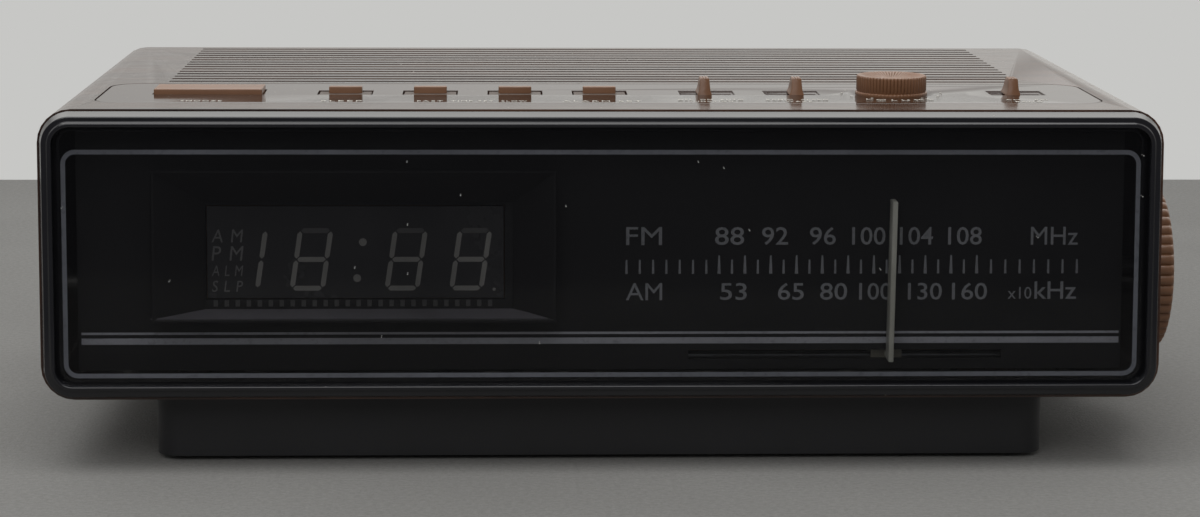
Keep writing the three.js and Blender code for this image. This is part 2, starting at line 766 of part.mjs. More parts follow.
// A blade with flared sides that moves in its recess, on a stem down through the panel. A flange
// holds it up against the underside, and the stem ends in the switch.
function slider(x) {
  const [front, back] = [slotFront + gap, slotBack - gap];
  const [wide, narrow] = [sliderWidth / 2, sliderTopWidth / 2];
  const bottom = panelTopZ - slotDepth + gap;
  const top = panelTopZ + sliderProud;
  return join([
    stack(x, [
      [wide, front, back, bottom], [wide - 0.05, front, back, bottom + 0.5],
      [wide - 0.35, front + 0.2, back - 1, bottom + 1.4],
      [narrow, front + sliderTopSet, front + sliderTopSet + sliderTopDepth, top],
    ]),
    box(x - sliderFlange, x + sliderFlange, slotFront, slotBack, flangeBottom, flangeTop),
    box(x - stemHalf, x + stemHalf, slotY - stemHalf, slotY + stemHalf, switchTop - 3, bottom + 0.3),
  ]);
}

function slideSwitch(x) {
  const base = switchBoardZ + boardThickness + gap;
  const body = box(x - slitHalf - 1.5, x + slitHalf + 1.5, slotY - 3.5, slotY + 3.5, base, switchTop);
  const well = box(x - slitHalf, x + slitHalf, slotY - stemHalf - gap, slotY + stemHalf + gap,
    switchTop - 3.6, switchTop + 1);
  return cut(body, [well]);
}

for (const [name, centre, rest] of sliders) {
  add(`${name}_slider`, slider(centre + rest), keyBrown);
  add(`${name}_switch`, slideSwitch(centre), greyPlastic);
}

// ---------------------------------------------------------------- volume knob
const volumeTop = panelTopZ + volumeProud;
const volumeBottom = panelTopZ - dishDepth + gap;
const potTop = switchBoardZ + boardThickness + gap + 6;
const volumeShaftTop = volumeTop - 2;
const flangeRim = panelTopZ + 0.6;

function volumeKnob() {
  const ribs = plate(ribbedShape(volumeRadius, volumeRibs, 0.35), flangeRim - 0.2, volumeTop - 0.4);
  const body = turned([
    [0, volumeBottom], [volumeRadius + volumeFlange, volumeBottom],
    [volumeRadius + volumeFlange, flangeRim], [volumeRadius - 0.3, flangeRim + 0.1],
    [volumeRadius - 0.3, volumeTop - 0.4], [volumeRadius - 0.6, volumeTop],
    [volumeRadius - 1.4, volumeTop - 0.1], [volumeRadius - 3.5, volumeTop - 0.7],
    [0, volumeTop - 0.9],
  ], 'z', [0, 0, 0], 30);
  const hub = rod(hubRadius, potTop + 2.6, volumeBottom + 0.5, 'z', [0, 0, 0]);
  const bore = rod(shaftRadius + gap, 0, volumeShaftTop + gap, 'z', [0, 0, 0]);
  return cut(join([ribs, body, hub]), [bore]).translate(volumeX, volumeY, 0);
}
add('volume_knob', volumeKnob(), keyBrown);

add('volume_shaft', rod(shaftRadius, potTop - 3, volumeShaftTop, 'z', [volumeX, volumeY, 0]), steel);

function volumeControl() {
  const base = switchBoardZ + boardThickness + gap;
  const can = rod(8.5, base, potTop, 'z', [volumeX, volumeY, 0], 32);
  const bore = rod(shaftRadius + gap, potTop - 3 - gap, potTop + 1, 'z', [volumeX, volumeY, 0]);
  return cut(can, [bore]);
}
add('volume_control', volumeControl(), darkSteel);

add('switch_board', box(-120, 126, 24, panelBack, switchBoardZ, switchBoardZ + boardThickness),
  boardBrown);

// ---------------------------------------------------------------- speaker
const speakerTop = height - topWall - gap;

add('speaker_basket', turned([
  [speakerRadius, speakerTop], [speakerRadius, speakerTop - 1.5], [speakerRadius - 4, speakerTop - 1.5],
  [20, speakerTop - 17], [12, speakerTop - 17], [12, speakerTop - 15.5], [19, speakerTop - 15.5],
  [speakerRadius - 5, speakerTop - 1.2], [speakerRadius - 5, speakerTop], [speakerRadius, speakerTop],
], 'z', [speakerX, speakerY, 0], 28), darkSteel);

add('speaker_cone', turned([
  [0, speakerTop - 13], [9, speakerTop - 13], [10, speakerTop - 14], [speakerRadius - 6, speakerTop - 1.6],
  [speakerRadius - 6, speakerTop - 0.8], [10.5, speakerTop - 12.4], [9, speakerTop - 11.6],
  [0, speakerTop - 9.5],
], 'z', [speakerX, speakerY, 0], 28), paper);

add('speaker_magnet', rod(19, speakerTop - 29, speakerTop - 17 - gap, 'z',
  [speakerX, speakerY, 0], 28), darkSteel);

// ---------------------------------------------------------------- boards and parts inside
const boardTop = mainBoardZ + boardThickness;
const mainBoardLeft = -50;
const mainBoardRight = half - 41.5;
add('main_board', box(mainBoardLeft, mainBoardRight, 22.5, depth - 15, mainBoardZ, boardTop), boardBrown);
add('smoothing_capacitor', rod(8, boardTop + gap, boardTop + 30, 'z', [20, 130, 0], 32), darkSteel);

const rodY = depth - 12;
add('ferrite_rod', rod(4, 12, 112, 'x', [0, rodY, 72], 24), darkSteel);
add('antenna_coil', ring(4 + gap, 6, 20, 46, 'x', [0, rodY, 72], 32), copper);

const trayFloor = plinthBottom + plinthWall;
add('power_transformer', join([
  box(-92, -58, 100, 134, trayFloor + gap, 46),
  box(-84, -66, 94, 140, trayFloor + 8, 38),
]), darkSteel);

// ---------------------------------------------------------------- plinth, feet and screws
const feet = [
  ['front_left', -footX, plinthFront + 14], ['front_right', footX, plinthFront + 14],
  ['rear_left', -footX, plinthBack - 14], ['rear_right', footX, plinthBack - 14],
];
const footTop = plinthBottom + 0.9;
const headSeat = plinthBottom + 7;

function baseTray() {
  const x = plinthHalf;
  const top = cabinetBottom - gap;
  const outer = plate(roundedRect(-x, x, plinthFront, plinthBack, plinthRadius), plinthBottom, top);
  const cavity = plate(roundedRect(-x + plinthWall, x - plinthWall, plinthFront + plinthWall,
    plinthBack - plinthWall, plinthRadius - plinthWall), trayFloor, top + 1);
  const posts = screwPlaces.map(([, sx, sy]) => rod(5.6, trayFloor - 0.5, top, 'z', [sx, sy, 0]));
  const standoffs = [mainBoardLeft + 8, mainBoardRight - 13].flatMap((sx) => [32, 132].map((sy) =>
    rod(3, trayFloor - 0.5, mainBoardZ - gap, 'z', [sx, sy, 0])));
  const holes = screwPlaces.flatMap(([, sx, sy]) => [
    rod(screwRadius + gap, plinthBottom - 1, top + 1, 'z', [sx, sy, 0]),
    rod(screwHead + gap, plinthBottom - 1, headSeat, 'z', [sx, sy, 0]),
  ]);
  const pockets = feet.map(([, fx, fy]) =>
    rod(footRadius + gap, plinthBottom - 1, footTop + gap, 'z', [fx, fy, 0], 24));
  return cut(join([cut(outer, [cavity]), ...posts, ...standoffs]), [...holes, ...pockets]);
}
add('base_tray', baseTray(), blackMatte);

for (const [place, x, y] of screwPlaces) {
  const head = headSeat - gap;
  add(`case_screw_${place}`, turned([
    [0, head - 2], [screwHead - 0.6, head - 2], [screwHead, head - 1.2], [screwHead, head],
    [screwRadius, head], [screwRadius, screwTip - 1], [0, screwTip],
  ], 'z', [x, y, 0], 16), steel);
}

for (const [place, x, y] of feet) {
  add(`rubber_foot_${place}`, turned([
    [0, 0], [footRadius - 0.8, 0], [footRadius, 0.6], [footRadius, footTop], [0, footTop],
  ], 'z', [x, y, 0], 24), rubber);
}

// ---------------------------------------------------------------- rear
const coverBack = depth - (topWall - sideWall);

function rearCover() {
  const inner = half - sideWall - gap;
  const shape = roundedRect(-inner, inner, cabinetBottom + sideWall + gap,
    height - topWall - gap, cornerRadius - sideWall - gap);
  const [front, back] = [coverBack - coverThickness, coverBack];
  const openings = [
    rod(glandRadius + gap, front - 1, back + 1, 'y', [glandX, 0, glandZ], 24),
  ];
  for (let i = 0; i < ventCount; i += 1) {
    for (const z of ventRows) {
      const x = ventLeft + i * ventPitch;
      openings.push(box(x, x + ventWidth, front - 1, back + 1, z, z + ventLength));
    }
  }
  return cut(frontPrism(shape, front, back), openings);
}
add('rear_cover', rearCover(), blackMatte);

add('cord_gland', turned([
  [2.2, coverBack - 7], [glandRadius, coverBack - 7], [glandRadius, coverBack + gap],
  [6.8, coverBack + gap], [6.8, coverBack + 2], [4.6, coverBack + 2],
  [3.6, depth + glandNose], [2.2, depth + glandNose], [2.2, coverBack - 7],
], 'y', [glandX, 0, glandZ], 24), rubber);

// ---------------------------------------------------------------- origin: bottom centre of the box
const frontmost = leanAt(cabinetBottom + stepInset + 0.25) - bezelProud;
const rearmost = depth + glandNose;
assembly.position.set(-knobProud / 2, -(frontmost + rearmost) / 2, 0);

export default assembly;
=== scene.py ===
"""Looks of the AM/FM digital clock radio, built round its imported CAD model.

Sizes are millimetres in the cabinet's own frame: X from the middle of the cabinet, Y back from the bottom
of its front edge and Z up from the table. at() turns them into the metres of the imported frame.
"""

import json
import math

import bmesh
import bpy
from mathutils import Matrix, Vector

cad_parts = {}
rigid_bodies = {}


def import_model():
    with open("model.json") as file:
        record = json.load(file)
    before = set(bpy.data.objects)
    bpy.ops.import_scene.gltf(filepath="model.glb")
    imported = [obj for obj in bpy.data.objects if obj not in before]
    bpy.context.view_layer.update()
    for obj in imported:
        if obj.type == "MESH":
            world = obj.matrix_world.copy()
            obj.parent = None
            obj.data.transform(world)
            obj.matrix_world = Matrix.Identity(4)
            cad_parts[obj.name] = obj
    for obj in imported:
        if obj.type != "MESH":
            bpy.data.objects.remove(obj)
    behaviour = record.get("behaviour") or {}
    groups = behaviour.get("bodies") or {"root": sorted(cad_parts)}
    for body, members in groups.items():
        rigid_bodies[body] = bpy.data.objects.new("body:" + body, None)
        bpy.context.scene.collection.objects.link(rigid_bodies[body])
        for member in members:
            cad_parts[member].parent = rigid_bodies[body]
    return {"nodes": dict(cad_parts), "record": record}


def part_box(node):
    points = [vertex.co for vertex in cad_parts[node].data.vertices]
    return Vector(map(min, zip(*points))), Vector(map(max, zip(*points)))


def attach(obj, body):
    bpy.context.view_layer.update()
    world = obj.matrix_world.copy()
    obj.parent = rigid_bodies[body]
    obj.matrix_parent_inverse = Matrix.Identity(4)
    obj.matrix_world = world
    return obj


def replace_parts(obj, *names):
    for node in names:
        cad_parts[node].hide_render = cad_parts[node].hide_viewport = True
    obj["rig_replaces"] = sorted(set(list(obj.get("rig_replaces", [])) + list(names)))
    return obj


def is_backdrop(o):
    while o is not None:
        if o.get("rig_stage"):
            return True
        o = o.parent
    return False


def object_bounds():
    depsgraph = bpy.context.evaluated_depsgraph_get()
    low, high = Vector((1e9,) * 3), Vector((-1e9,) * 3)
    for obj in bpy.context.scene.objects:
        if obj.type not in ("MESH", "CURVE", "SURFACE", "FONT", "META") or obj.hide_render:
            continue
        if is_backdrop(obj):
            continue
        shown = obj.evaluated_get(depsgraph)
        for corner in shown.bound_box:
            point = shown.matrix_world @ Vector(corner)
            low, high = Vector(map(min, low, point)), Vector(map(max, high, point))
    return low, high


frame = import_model()
size_after_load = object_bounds()
record = frame["record"]
body_of = {node: body for body, nodes in record["behaviour"]["bodies"].items() for node in nodes}
slot_of = {part["node"]: part["material_slot"] for part in record["subparts"]}

# ---------------------------------------------------------------- sizes taken from the CAD model
MM = 0.001
case_low, case_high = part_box("cabinet")
MIDDLE_X = (case_low.x + case_high.x) / 2
FRONT_Y = case_low.y
HALF = (case_high.x - case_low.x) / 2 / MM
BOTTOM = case_low.z / MM
TOP = case_high.z / MM

CORNER = 8.5            # corner radius of the cabinet's section
CORNER_STEPS = 14
LEAN = math.tan(math.radians(4))    # the front leans back as it rises
BEZEL_INSET = 0.45
BEZEL_WIDTH = 3.65
BEZEL_PROUD = 4.2
BEZEL_SLOPE = 1         # the frame's outer side leans in by this much
BEZEL_LAND = 1.35       # its outer land, with a raised one inside
BEZEL_STEP = 0.5
SKIRT_DEPTH = 9
GAP = 0.35              # between neighbouring parts
DIAL_SET = 7            # face of the dial plate behind the front
PRINT = 0.03            # thickness of printing, and its clearance from the surface it is on
PRINT_NEAR = DIAL_SET - 2 * PRINT   # front and back of printing on the dial plate and the display
PRINT_FAR = DIAL_SET - PRINT


def at(x, y, z):
    """A point given in cabinet millimetres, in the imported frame's metres."""
    return Vector((MIDDLE_X + x * MM, FRONT_Y + y * MM, z * MM))


def on_front(x, set_back, z):
    """A point a distance behind the leaning front of the cabinet."""
    return at(x, set_back + (z - BOTTOM) * LEAN, z)


def box_mm(node):
    """A CAD node's box in cabinet millimetres: (x0, x1, y0, y1, z0, z1)."""
    low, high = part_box(node)
    return (
        (low.x - MIDDLE_X) / MM, (high.x - MIDDLE_X) / MM,
        (low.y - FRONT_Y) / MM, (high.y - FRONT_Y) / MM,
        low.z / MM, high.z / MM,
    )


# ---------------------------------------------------------------- materials
def linear(red, green, blue):
    """0-255 screen colour as a scene colour."""
    def channel(value):
        value /= 255
        return value / 12.92 if value <= 0.04045 else ((value + 0.055) / 1.055) ** 2.4
    return (channel(red), channel(green), channel(blue), 1)


class Look:
    """One node-based material on a Principled shader, in object coordinates (metres)."""

    def __init__(self, name, **values):
        self.material = bpy.data.materials.new(name)
        self.material.use_nodes = True
        self.tree = self.material.node_tree
        self.shader = self.tree.nodes["Principled BSDF"]
        self.where = self.tree.nodes.new("ShaderNodeTexCoord").outputs["Object"]
        for key, value in values.items():
            self.shader.inputs[key.replace("_", " ")].default_value = value

    def node(self, kind, **values):
        made = self.tree.nodes.new(kind)
        for key, value in values.items():
            made.inputs[key].default_value = value
        return made

    def link(self, output, node, key):
        self.tree.links.new(output, node.inputs[key])

    def noise(self, scale, detail=4, rough=0.5, distortion=0.0):
        """Noise with its own scale along each axis, per metre."""
        stretch = self.node("ShaderNodeMapping", Scale=scale)
        self.link(self.where, stretch, "Vector")
        made = self.node("ShaderNodeTexNoise", Scale=1, Detail=detail, Roughness=rough,
                         Distortion=distortion)
        self.link(stretch.outputs["Vector"], made, "Vector")
        return made.outputs["Fac"]

    def ramp(self, value, *stops):
        made = self.tree.nodes.new("ShaderNodeValToRGB")
        elements = made.color_ramp.elements
        while len(elements) < len(stops):
            elements.new(0.5)
        for element, (position, color) in zip(elements, stops):
            element.position = position
            element.color = color
        self.link(value, made, "Fac")
        return made.outputs["Color"]

    def span(self, value, low, high, to_low, to_high):
        made = self.node("ShaderNodeMapRange", **{
            "From Min": low, "From Max": high, "To Min": to_low, "To Max": to_high})
        self.link(value, made, "Value")
        return made.outputs["Result"]

    def math(self, operation, first, second):
        made = self.tree.nodes.new("ShaderNodeMath")
        made.operation = operation
        made.use_clamp = True
        for index, value in enumerate((first, second)):
            if isinstance(value, (int, float)):
                made.inputs[index].default_value = value
            else:
                self.tree.links.new(value, made.inputs[index])
        return made.outputs["Value"]

    def mix(self, share, first, second):
        made = self.tree.nodes.new("ShaderNodeMix")
        made.data_type = "RGBA"
        for index, value in ((0, share), (6, first), (7, second)):
            if isinstance(value, (int, float, tuple)):
                made.inputs[index].default_value = value
            else:
                self.tree.links.new(value, made.inputs[index])
        return made.outputs[2]

    def specks(self, per_metre, radius, share, plane=None):
        """Small round spots, one at most in each cell, in a share of the cells.

        plane "top" or "front" keeps the pattern flat. Without it the spots are little spheres in space.
        """
        turned = self.node("ShaderNodeMapping", Rotation=(math.pi / 2 if plane == "front" else 0, 0, 0))
        self.link(self.where, turned, "Vector")
        made = self.node("ShaderNodeTexVoronoi", Scale=per_metre)
        made.voronoi_dimensions = "2D" if plane else "3D"
        self.link(turned.outputs["Vector"], made, "Vector")
        spot = self.span(made.outputs["Distance"], radius * 0.6, radius, 1, 0)
        channels = self.tree.nodes.new("ShaderNodeSeparateColor")
        self.link(made.outputs["Color"], channels, "Color")
        chosen = self.math("GREATER_THAN", channels.outputs["Red"], 1 - share)
        return self.math("MULTIPLY", spot, chosen)

    def color(self, value):
        self.link(value, self.shader, "Base Color")

    def roughness(self, value):
        self.link(value, self.shader, "Roughness")

    def alpha(self, value):
        self.link(value, self.shader, "Alpha")

    def bump(self, height, distance, strength):
        made = self.node("ShaderNodeBump", Strength=strength, Distance=distance)
        self.link(height, made, "Height")
        self.link(made.outputs["Normal"], self.shader, "Normal")


def wood():
    """Printed wood film: its grain runs across the top and down the sides."""
    look = Look("wood_cabinet")
    bands = look.noise((7, 150, 7), detail=6, rough=0.6, distortion=0.6)
    pores = look.noise((45, 1500, 45), detail=3, rough=0.6)
    grain = look.ramp(
        bands, (0.28, linear(40, 26, 19)), (0.45, linear(66, 44, 33)),
        (0.58, linear(84, 57, 42)), (0.74, linear(52, 35, 26)))
    streaks = look.span(pores, 0.35, 0.5, 0.55, 0)
    toned = look.mix(streaks, grain, linear(34, 20, 15))
    dust = look.specks(260, 0.07, 0.3)
    look.color(look.mix(dust, toned, linear(190, 186, 178)))
    wear = look.noise((120, 260, 260), detail=6, rough=0.75)
    look.roughness(look.math("ADD", look.span(wear, 0.3, 0.7, 0.11, 0.2), dust))
    look.bump(pores, 0.00003, 0.5)
    return look.material


def plastic(name, color, gloss, grain=2600, mottle=0.12, bump=0.00001, dust=0.0, wear=0.1, plane=None):
    """Moulded plastic or paint: fine surface grain, slight unevenness of tone, rubbed gloss, dust."""
    look = Look(name)
    fine = look.noise((grain, grain, grain), detail=2)
    broad = look.noise((38, 38, 38), detail=5, rough=0.6)
    lighter = tuple(min(1, c * (1 + 2 * mottle)) for c in color[:3]) + (1,)
    darker = tuple(c * (1 - mottle) for c in color[:3]) + (1,)
    toned = look.ramp(broad, (0.3, darker), (0.7, lighter))
    rubbed = look.span(broad, 0.3, 0.7, gloss - wear * 0.4, gloss + wear)
    if dust:
        spots = look.specks(190, 0.035 if plane else 0.07, dust, plane)
        toned = look.mix(spots, toned, linear(188, 184, 178))
        rubbed = look.math("ADD", rubbed, spots)
    look.color(toned)
    look.roughness(rubbed)
    look.bump(fine, bump, 0.6)
    return look.material


WINDOW_ALPHA = 0.34     # how much the smoked window hides


def smoked():
    """Smoked acrylic window: dark, glossy, with fine scratches and lint."""
    look = Look("smoked_window", Specular_IOR_Level=0.4)
    look.material.surface_render_method = "BLENDED"
    slanting = look.noise((520, 520, 2400), detail=2, rough=0.7, distortion=0.8)
    patch = look.noise((55, 55, 90), detail=3)
    scratched = look.span(slanting, 0.70, 0.77, 0, 0.08)
    scratches = look.math("MULTIPLY", scratched, look.span(patch, 0.56, 0.66, 0, 1))
    haze = look.noise((25, 25, 25), detail=5, rough=0.65)
    lint = look.specks(150, 0.026, 0.05, "front")
    marks = look.math("ADD", scratches, lint)
    look.color(look.mix(marks, linear(9, 9, 11), linear(214, 214, 210)))
    look.roughness(look.math("ADD", look.span(haze, 0.3, 0.7, 0.05, 0.16), lint))
    smoke = look.span(haze, 0.3, 0.75, WINDOW_ALPHA - 0.03, WINDOW_ALPHA + 0.04)
    look.alpha(look.math("ADD", smoke, marks))
    return look.material


def ink(name, color):
    """Screen-printed ink, slightly uneven and worn."""
    look = Look(name)
    patch = look.noise((900, 900, 900), detail=3)
    worn = tuple(c * 0.75 for c in color[:3]) + (1,)
    look.color(look.ramp(patch, (0.3, worn), (0.45, color)))
    look.roughness(look.span(patch, 0.3, 0.7, 0.45, 0.65))
    return look.material


def metal(name, color, gloss):
    """Plain metal, brushed along the cabinet."""
    look = Look(name, Metallic=0.95)
    brushed = look.noise((90, 2600, 2600), detail=3)
    darker = tuple(c * 0.72 for c in color[:3]) + (1,)
    look.color(look.ramp(brushed, (0.3, darker), (0.7, color)))
    look.roughness(look.span(brushed, 0.3, 0.7, gloss - 0.06, gloss + 0.12))
    look.bump(brushed, 0.000006, 0.5)
    return look.material


def circuit_board():
    """Brown laminate with lighter copper tracks under the lacquer."""
    look = Look("board")
    weave = look.noise((1400, 1400, 1400), detail=2)
    tracks = look.noise((120, 260, 120), detail=0)
    base = look.ramp(weave, (0.3, linear(116, 76, 40)), (0.7, linear(150, 102, 56)))
    edges = look.span(tracks, 0.52, 0.53, 0, 0.6)
    look.color(look.mix(edges, base, linear(176, 128, 70)))
    look.roughness(look.span(weave, 0.3, 0.7, 0.42, 0.6))
    look.bump(tracks, 0.00003, 0.4)
    return look.material


looks = {
    "wood_cabinet": wood(),
    "gloss_black": plastic("gloss_black", linear(24, 24, 27), 0.10, mottle=0.06, bump=0.000003,
                           dust=0.1, wear=0.05),
    "matte_black": plastic("matte_black", linear(30, 30, 32), 0.52, grain=1800, bump=0.00003),
    "smoked_window": smoked(),
    "panel_brown": plastic("panel_brown", linear(62, 45, 37), 0.08, mottle=0.07, bump=0.000003,
                           dust=0.14, wear=0.05, plane="top"),
    "key_brown": plastic("key_brown", linear(120, 84, 59), 0.32, grain=2200, mottle=0.08,
                         bump=0.000006, dust=0.05, wear=0.12),
    "off_white": plastic("off_white", linear(196, 192, 176), 0.45),
    "grey_plastic": plastic("grey_plastic", linear(104, 104, 100), 0.5),
    "board": circuit_board(),
    "steel": metal("steel", linear(176, 178, 180), 0.3),
    "dark_steel": metal("dark_steel", linear(92, 94, 98), 0.4),
    "copper": metal("copper", linear(190, 120, 76), 0.3),
    "rubber": plastic("rubber", linear(24, 24, 24), 0.75, grain=1400, bump=0.00004),
    "paper": plastic("paper", linear(44, 40, 36), 0.85, grain=900, bump=0.00008),
    "lamp_glass": plastic("lamp_glass", linear(206, 212, 214), 0.1, bump=0.000002),
}
plate_look = plastic("plate_look", linear(64, 50, 41), 0.55, grain=1500, bump=0.00003)
white_ink = ink("white_ink", linear(232, 228, 218))
dial_ink = ink("dial_ink", linear(176, 178, 184))
pointer_look = plastic("pointer_look", linear(240, 240, 224), 0.4)
segment_look = plastic("segment_look", linear(156, 155, 152), 0.4)
legend_look = plastic("legend_look", linear(128, 128, 128), 0.4)
faint_segment_look = plastic("faint_segment_look", linear(96, 96, 96), 0.4)
outline_ink = ink("outline_ink", linear(182, 186, 198))
stripe_ink = ink("stripe_ink", linear(208, 210, 220))
ledge_look = plastic("ledge_look", linear(104, 102, 108), 0.34, grain=1500, bump=0.00002, dust=0.2)
display_look = plastic("display_look", linear(62, 62, 64), 0.22)

# ---------------------------------------------------------------- mesh helpers
SMOOTH_ANGLE = math.radians(32)


def new_piece(name, bm, body, look, replaces=(), smooth=SMOOTH_ANGLE):
    """Makes a bmesh built in packed-frame metres into a piece that rides on a body."""
    bmesh.ops.remove_doubles(bm, verts=bm.verts, dist=1e-7)
    bmesh.ops.recalc_face_normals(bm, faces=bm.faces)
    mesh = bpy.data.meshes.new(name)
    bm.to_mesh(mesh)
    bm.free()
    mesh.materials.append(look)
    mesh.shade_smooth()
    mesh.set_sharp_from_angle(angle=smooth)
    piece = bpy.data.objects.new(name, mesh)
    bpy.context.scene.collection.objects.link(piece)
    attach(piece, body)
    if replaces:
        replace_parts(piece, *replaces)
    return piece


REFINED_EDGE = math.radians(30)


def refined(node, width):
    """A CAD node's own shape with its flat facets merged and its sharp edges rounded."""
    bm = bmesh.new()
    bm.from_mesh(frame["nodes"][node].data)
    bmesh.ops.remove_doubles(bm, verts=bm.verts, dist=1e-6)
    bmesh.ops.dissolve_limit(bm, angle_limit=math.radians(0.4), verts=bm.verts, edges=bm.edges)
    piece = new_piece("look_" + node, bm, body_of[node], looks[slot_of[node]],
                      (node,), REFINED_EDGE)
    bevel = piece.modifiers.new("edges", "BEVEL")
    bevel.width = width * MM
    bevel.segments = 2
    bevel.limit_method = "ANGLE"
    bevel.angle_limit = REFINED_EDGE
    bevel.use_clamp_overlap = True
    bevel.harden_normals = True


def add_loops(bm, loops, closed=True, cap=False):
    """Skins rows of points, each row a loop. closed joins the last row to the first."""
    rows = [[bm.verts.new(point) for point in loop] for loop in loops]
    count = len(rows[0])
    pairs = len(rows) if closed else len(rows) - 1
    for i in range(pairs):
        row, after = rows[i], rows[(i + 1) % len(rows)]
        for j in range(count):
            k = (j + 1) % count
            bm.faces.new((row[j], row[k], after[k], after[j]))
    if cap:
        bm.faces.new(rows[0])
        bm.faces.new(rows[-1])


def add_block(bm, x0, x1, y0, y1, z0, z1, radius, segments=2, drop_back=0.0, place=at):
    """A block with rounded edges. drop_back lowers the rear of its top."""
    corners = []
    for z, drop in ((z0, 0), (z1, drop_back)):
        for x, y in ((x0, y0), (x1, y0)):
            corners.append(bm.verts.new(place(x, y, z)))
        for x, y in ((x1, y1), (x0, y1)):
            corners.append(bm.verts.new(place(x, y, z - drop)))
    quads = ((3, 2, 1, 0), (4, 5, 6, 7), (0, 1, 5, 4), (1, 2, 6, 5), (2, 3, 7, 6), (3, 0, 4, 7))
    faces = [bm.faces.new([corners[i] for i in quad]) for quad in quads]
    edges = list(dict.fromkeys(edge for face in faces for edge in face.edges))
    bmesh.ops.bevel(bm, geom=edges, offset=radius * MM, offset_type="OFFSET",
                    segments=segments, profile=0.5, affect="EDGES", clamp_overlap=True)


def add_bar(bm, place, points, near, far):
    """A flat bar with the given outline, between two depths. place(x, depth, z) says where it lies."""
    front = [bm.verts.new(place(x, near, z)) for x, z in points]
    back = [bm.verts.new(place(x, far, z)) for x, z in points]
    bm.faces.new(front)
    bm.faces.new(back[::-1])
    count = len(points)
    for i in range(count):
        j = (i + 1) % count
        bm.faces.new((front[i], back[i], back[j], front[j]))


def circle(x, y, radius, sides):
    """Corners of a regular polygon round a centre."""
    angles = [2 * math.pi * i / sides for i in range(sides)]
    return [(x + radius * math.cos(angle), y + radius * math.sin(angle)) for angle in angles]


def rectangle(x0, x1, z0, z1):
    return [(x0, z0), (x1, z0), (x1, z1), (x0, z1)]


def rounded_outline(left, right, low, high, radius, steps):
    """A rectangle's outline (x, z) with rounded corners, from its lower right corner round to the left."""
    corners = (
        (right - radius, low + radius, -90), (right - radius, high - radius, 0),
        (left + radius, high - radius, 90), (left + radius, low + radius, 180),
    )
    points = []
    for cx, cz, start in corners:
        for i in range(steps + 1):
            angle = math.radians(start + 90 * i / steps)
            points.append((cx + radius * math.cos(angle), cz + radius * math.sin(angle)))
    return points


def outline(inset):
    """The cabinet's front outline, set in from its edge."""
    half = HALF - inset
    return rounded_outline(-half, half, BOTTOM + inset, TOP - inset, CORNER - inset, CORNER_STEPS)


# ---------------------------------------------------------------- cabinet and case
SMALL_EDGE = 0.25
for node, width in (("cabinet", 0.22), ("base_tray", 0.6), ("rear_cover", SMALL_EDGE),
                    ("control_panel", SMALL_EDGE), ("cord_gland", SMALL_EDGE)):
    refined(node, width)
for node in slot_of:
    if node.startswith(("rubber_foot", "case_screw")):
        refined(node, SMALL_EDGE)


def bezel():
    """Front frame: an outer side that slopes in, a land, and a raised land next to the window."""
    lip = BEZEL_INSET + BEZEL_WIDTH
    land = BEZEL_INSET + BEZEL_SLOPE + 0.2
    step = land + BEZEL_LAND
    low = BEZEL_STEP - BEZEL_PROUD
    high = -BEZEL_PROUD
    profile = [
        (BEZEL_INSET, -GAP), (land - 0.24, 0.45 + low), (land - 0.19, 0.26 + low),
        (land - 0.11, 0.11 + low), (land + 0.02, 0.02 + low), (land + 0.15, low),
        (step - 0.4, low), (step - 0.25, low - 0.04), (step - 0.1, low - 0.15),
        (step + 0.05, high + 0.15), (step + 0.2, high + 0.04), (step + 0.35, high),
        (lip - 0.3, high), (lip - 0.14, high + 0.04), (lip - 0.04, high + 0.14), (lip, high + 0.3),
        (lip, GAP), (lip + 1.4, GAP), (lip + 1.4, 1.2), (lip + 0.9, 1.2),
        (lip + 0.9, SKIRT_DEPTH), (3.2, SKIRT_DEPTH), (3.2, -GAP),
    ]
    bm = bmesh.new()
    add_loops(bm, [[on_front(x, y, z) for x, z in outline(inset)] for inset, y in profile])
    new_piece("bezel_frame", bm, "case", looks["gloss_black"], ("front_bezel",))


bezel()

WINDOW_INSET = BEZEL_INSET + BEZEL_WIDTH + GAP
WINDOW_FACE = -2        # in front of the cabinet's front


def window():
    """The pane, with a rounded front edge."""
    profile = [
        (WINDOW_INSET + 0.4, 0), (WINDOW_INSET, 0), (WINDOW_INSET, WINDOW_FACE + 0.3),
        (WINDOW_INSET + 0.1, WINDOW_FACE + 0.08), (WINDOW_INSET + 0.35, WINDOW_FACE),
    ]
    bm = bmesh.new()
    loops = [[on_front(x, y, z) for x, z in outline(inset)] for inset, y in profile]
    add_loops(bm, loops, closed=False, cap=True)
    new_piece("window_pane", bm, "case", looks["smoked_window"], ("front_window",))


window()

LINE_HALF = 136.7       # the line's outer edge from the middle, and its heights
LINE_LOW = 24
LINE_HIGH = 81.8
LINE_CORNER = 3.6
LINE_WIDTH = 1.15


def window_outline():
    """The thin line printed round the back of the window."""
    def loop(inset, y):
        half = LINE_HALF - inset
        edge = rounded_outline(-half, half, LINE_LOW + inset, LINE_HIGH - inset, LINE_CORNER - inset, 10)
        return [on_front(x, y, z) for x, z in edge]

    near, far = PRINT, PRINT * 2
    bm = bmesh.new()
    add_loops(bm, [loop(0, near), loop(LINE_WIDTH, near), loop(LINE_WIDTH, far), loop(0, far)])
    new_piece("window_outline", bm, "case", outline_ink)


window_outline()

